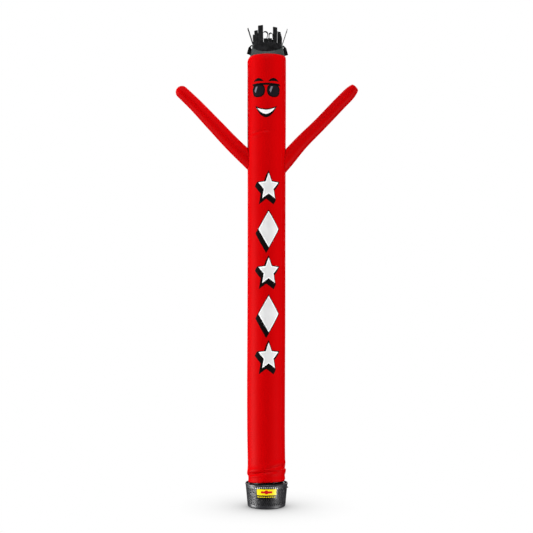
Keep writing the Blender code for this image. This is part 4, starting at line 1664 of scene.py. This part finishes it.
def rounded_box(left, foot, right, top, radius):
    """The outline of a box with rounded corners."""
    corners = (
        ((right - radius, foot + radius), -90.0),
        ((right - radius, top - radius), 0.0),
        ((left + radius, top - radius), 90.0),
        ((left + radius, foot + radius), 180.0),
    )
    points = []
    for corner, start in corners:
        points += rounded(corner, radius, start, start + 90.0, 6)
    return points


def make_label():
    """The label: a dark film with a yellow field and plain motifs round it."""
    film = shared(label_vinyl, "black", linear("#0C0C10"))
    yellow = shared(label_vinyl, "yellow", tuple(settings().blower.yellow))
    red = shared(label_vinyl, "red", linear("#C8131B"))
    white = shared(label_vinyl, "white", LABEL_WHITE)
    reach = LABEL_FACET * LABEL_FACETS * wall_radius((LABEL_LOW + LABEL_HIGH) / 2)
    ink = Ink(0.008)
    ink.add(film, rounded_box(-reach, LABEL_LOW, reach, LABEL_HIGH, LABEL_CORNER))
    left, foot, right, top = FIELD
    ink.add(yellow, rounded_box(left, foot, right, top, FIELD_CORNER))
    low, high = FIELD_STRIPE
    stripe = (left + FIELD_STRIPE_INSET, low, right - FIELD_STRIPE_INSET, high)
    ink.add(red, rounded_box(*stripe, FIELD_CORNER))
    middle = (low + high) / 2
    disc = (-FIELD_DISC, middle - FIELD_DISC, FIELD_DISC, middle + FIELD_DISC)
    ink.add(red, rounded_box(*disc, FIELD_DISC))
    half, height, fall = ABOVE_BOW
    for k in range(ABOVE_FIELD):
        side = 2.0 * k / (ABOVE_FIELD - 1) - 1.0
        ink.add(white, lozenge((half * side, height - fall * side * side), ABOVE_WIDTH))
    wide, tall, corner = DASH
    for k in range(UNDER_FIELD):
        u = UNDER_HALF * (2.0 * k / (UNDER_FIELD - 1) - 1.0)
        dash = (u - wide / 2, UNDER_LOW, u + wide / 2, UNDER_LOW + tall)
        ink.add(yellow, rounded_box(*dash, corner))

    def on_wall(u, v):
        middle = wall_radius((LABEL_LOW + LABEL_HIGH) / 2)
        return on_ring(u / middle, wall_radius(v) + SEAM_GAP + LABEL_THICKNESS, v)

    made = piece("label_film", ink.mesh(on_wall), ink.materials, sharp=40.0)
    thick(made, LABEL_THICKNESS)
    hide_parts("label_panel")
    return made


# ---------------------------------------------------------------- the stage


def sun(name, azimuth, elevation, strength, softness):
    """A soft distant light that shines from an azimuth and an elevation."""
    light = bpy.data.lights.new(name, "SUN")
    light.energy = strength
    light.angle = math.radians(softness)
    made = bpy.data.objects.new(name, light)
    turn, rise = math.radians(azimuth), math.radians(elevation)
    source = Vector((math.sin(turn) * math.cos(rise), -math.cos(turn) * math.cos(rise), math.sin(rise)))
    made.rotation_mode = "QUATERNION"
    made.rotation_quaternion = (-source).to_track_quat("-Z", "Y")
    bpy.context.scene.collection.objects.link(made)
    return made


LIGHTS = (
    # name, azimuth, elevation, strength, softness
    ("key from the left", -86.0, -14.0, 4.40, 24.0),
    ("light from above", 2.0, 50.0, 2.45, 24.0),
    ("glow from the right", 67.0, -30.0, 2.80, 30.0),
    ("light on the back", 180.0, 20.0, 1.60, 60.0),
)
FLOOR_HALF = 60.0
FLOOR_LEVEL = -0.0005
SENSOR_WIDTH = 36.0  # in millimetres


def make_world():
    """White to the camera. Other rays see a soft light overhead and little else."""
    world = bpy.data.worlds.new("studio")
    bpy.context.scene.world = world
    world.use_nodes = True
    tree = world.node_tree
    tree.nodes.clear()
    way = node(tree, "ShaderNodeTexCoord").outputs["Generated"]
    split = node(tree, "ShaderNodeSeparateXYZ", {"Vector": way})
    overhead = node(
        tree, "ShaderNodeMapRange",
        {"Value": split.outputs["Z"], "From Min": 0.60, "From Max": 0.80, "To Min": 0.03, "To Max": 1.0},
        interpolation_type="SMOOTHSTEP",
    )
    soft = node(
        tree, "ShaderNodeBackground", {"Color": WHITE, "Strength": overhead.outputs["Result"]}
    )
    plain = node(tree, "ShaderNodeBackground", {"Color": WHITE, "Strength": 1.0})
    ray = node(tree, "ShaderNodeLightPath")
    mixed = node(
        tree, "ShaderNodeMixShader",
        {0: ray.outputs["Is Camera Ray"], 1: soft.outputs["Background"], 2: plain.outputs["Background"]},
    )
    node(tree, "ShaderNodeOutputWorld", {"Surface": mixed.outputs["Shader"]})


def make_floor():
    """A wide floor that shows to the camera and takes no part in lighting the object."""
    shape = bmesh.new()
    bmesh.ops.create_grid(shape, x_segments=8, y_segments=8, size=FLOOR_HALF)
    mesh = bpy.data.meshes.new("floor")
    shape.to_mesh(mesh)
    shape.free()
    floor = bpy.data.objects.new("floor", mesh)
    floor.location.z = FLOOR_LEVEL
    mesh.materials.append(studio_floor())
    floor.visible_diffuse = False
    floor.visible_glossy = False
    floor.visible_shadow = False
    bpy.context.scene.collection.objects.link(floor)
    floor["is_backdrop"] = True


def make_camera():
    """The camera in front of the object."""
    stage = settings().stage
    camera = bpy.data.cameras.new("camera")
    camera.lens = stage.lens
    camera.sensor_width = SENSOR_WIDTH
    made = bpy.data.objects.new("camera", camera)
    made.location = (0.0, -stage.distance, stage.height)
    made.rotation_euler = (math.radians(90.0) + stage.pitch, 0.0, 0.0)
    bpy.context.scene.collection.objects.link(made)
    bpy.context.scene.camera = made


# ---------------------------------------------------------------- operators


class DANCER_OT_tube(bpy.types.Operator):
    """Sews the long tube of the body, with its folds, seams, hem and arm holes"""

    bl_idname = "dancer.tube"
    bl_label = "Tube"

    def execute(self, context):
        tube = make_tube()
        arms = (("arm_left", LEFT_ARM), ("arm_right", RIGHT_ARM))
        plugs = [cut_arm_hole(tube, name, rows) for name, rows in arms]
        apply_all(tube)
        for plug in plugs:
            bpy.data.objects.remove(plug, do_unlink=True)
        return {"FINISHED"}


class DANCER_OT_arms(bpy.types.Operator):
    """Sews the two raised arms on to the tube"""

    bl_idname = "dancer.arms"
    bl_label = "Arms"

    def execute(self, context):
        make_arm("arm_left", LEFT_ARM, True)
        make_arm("arm_right", RIGHT_ARM, False)
        return {"FINISHED"}


class DANCER_OT_crown(bpy.types.Operator):
    """Sews the crown cap and the ribbons of the hair"""

    bl_idname = "dancer.crown"
    bl_label = "Crown and hair"

    def execute(self, context):
        make_cap()
        make_hair()
        return {"FINISHED"}


class DANCER_OT_stitching(bpy.types.Operator):
    """Adds the visible rows of stitches"""

    bl_idname = "dancer.stitching"
    bl_label = "Stitching"

    def execute(self, context):
        red = shared(sewing_thread, "red", linear("#B0050A"))
        black = shared(sewing_thread, "black", linear("#101010"))
        piece("tube_stitches", tube_stitching(), [red])
        piece("crown_stitches", crown_stitching(), [black])
        return {"FINISHED"}


class DANCER_OT_prints(bpy.types.Operator):
    """Prints the face and the column of motifs on the tube"""

    bl_idname = "dancer.prints"
    bl_label = "Prints"

    def execute(self, context):
        for name, ink in (("face_ink", face_print()), ("motif_ink", motif_print())):
            made = piece(name, ink.mesh(on_tube), ink.materials)
        return {"FINISHED"}


class DANCER_OT_blower(bpy.types.Operator):
    """Moulds the blower's housing, lip and knobs, and paints its steel parts"""

    bl_idname = "dancer.blower"
    bl_label = "Blower"

    def execute(self, context):
        make_housing()
        make_rim()
        make_lip()
        for name, azimuth, seat_radius, height in KNOB_SEATS:
            make_knob(name, azimuth, seat_radius, height)
        finishes = (
            ("blower_deck", moulded_plastic),
            ("blower_duct", painted_steel),
            ("blower_base", painted_steel),
        )
        for name, finish in finishes:
            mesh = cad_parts[name].data
            mesh.materials.clear()
            mesh.materials.append(shared(finish))
        return {"FINISHED"}


class DANCER_OT_label(bpy.types.Operator):
    """Sticks the plain label on the front of the housing"""

    bl_idname = "dancer.label"
    bl_label = "Label"

    def execute(self, context):
        make_label()
        return {"FINISHED"}


class DANCER_OT_stage(bpy.types.Operator):
    """Sets the floor, the soft lights and the camera"""

    bl_idname = "dancer.stage"
    bl_label = "Stage"

    def execute(self, context):
        context.scene.view_settings.view_transform = "Standard"
        make_world()
        make_floor()
        make_camera()
        for row in LIGHTS:
            sun(*row)
        return {"FINISHED"}


OPERATORS = (
    DANCER_OT_stage,
    DANCER_OT_tube,
    DANCER_OT_arms,
    DANCER_OT_crown,
    DANCER_OT_stitching,
    DANCER_OT_prints,
    DANCER_OT_blower,
    DANCER_OT_label,
)


class DANCER_PT_panel(bpy.types.Panel):
    """A button for each operator"""

    bl_label = "Air dancer"
    bl_idname = "DANCER_PT_panel"
    bl_space_type = "VIEW_3D"
    bl_region_type = "UI"
    bl_category = "Air dancer"

    def draw(self, context):
        for operator in OPERATORS:
            self.layout.operator(operator.bl_idname)


CLASSES = (
    ClothSettings, PrintSettings, BlowerSettings, StageSettings, DancerSettings,
    *OPERATORS, DANCER_PT_panel,
)


def register():
    """Registers all classes and the settings."""
    for made in CLASSES:
        bpy.utils.register_class(made)
    bpy.types.Scene.air_dancer = PointerProperty(type=DancerSettings)


def unregister():
    """Takes them away again."""
    del bpy.types.Scene.air_dancer
    for made in reversed(CLASSES):
        bpy.utils.unregister_class(made)


def main():
    """Builds everything."""
    register()
    for operator in OPERATORS:
        family, name = operator.bl_idname.split(".")
        getattr(getattr(bpy.ops, family), name)()
    boxes = {"cad": CAD_BOX, "visual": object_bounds()}
    {name: [list(low), list(high)] for name, (low, high) in boxes.items()}


if __name__ == "__main__":
    main()
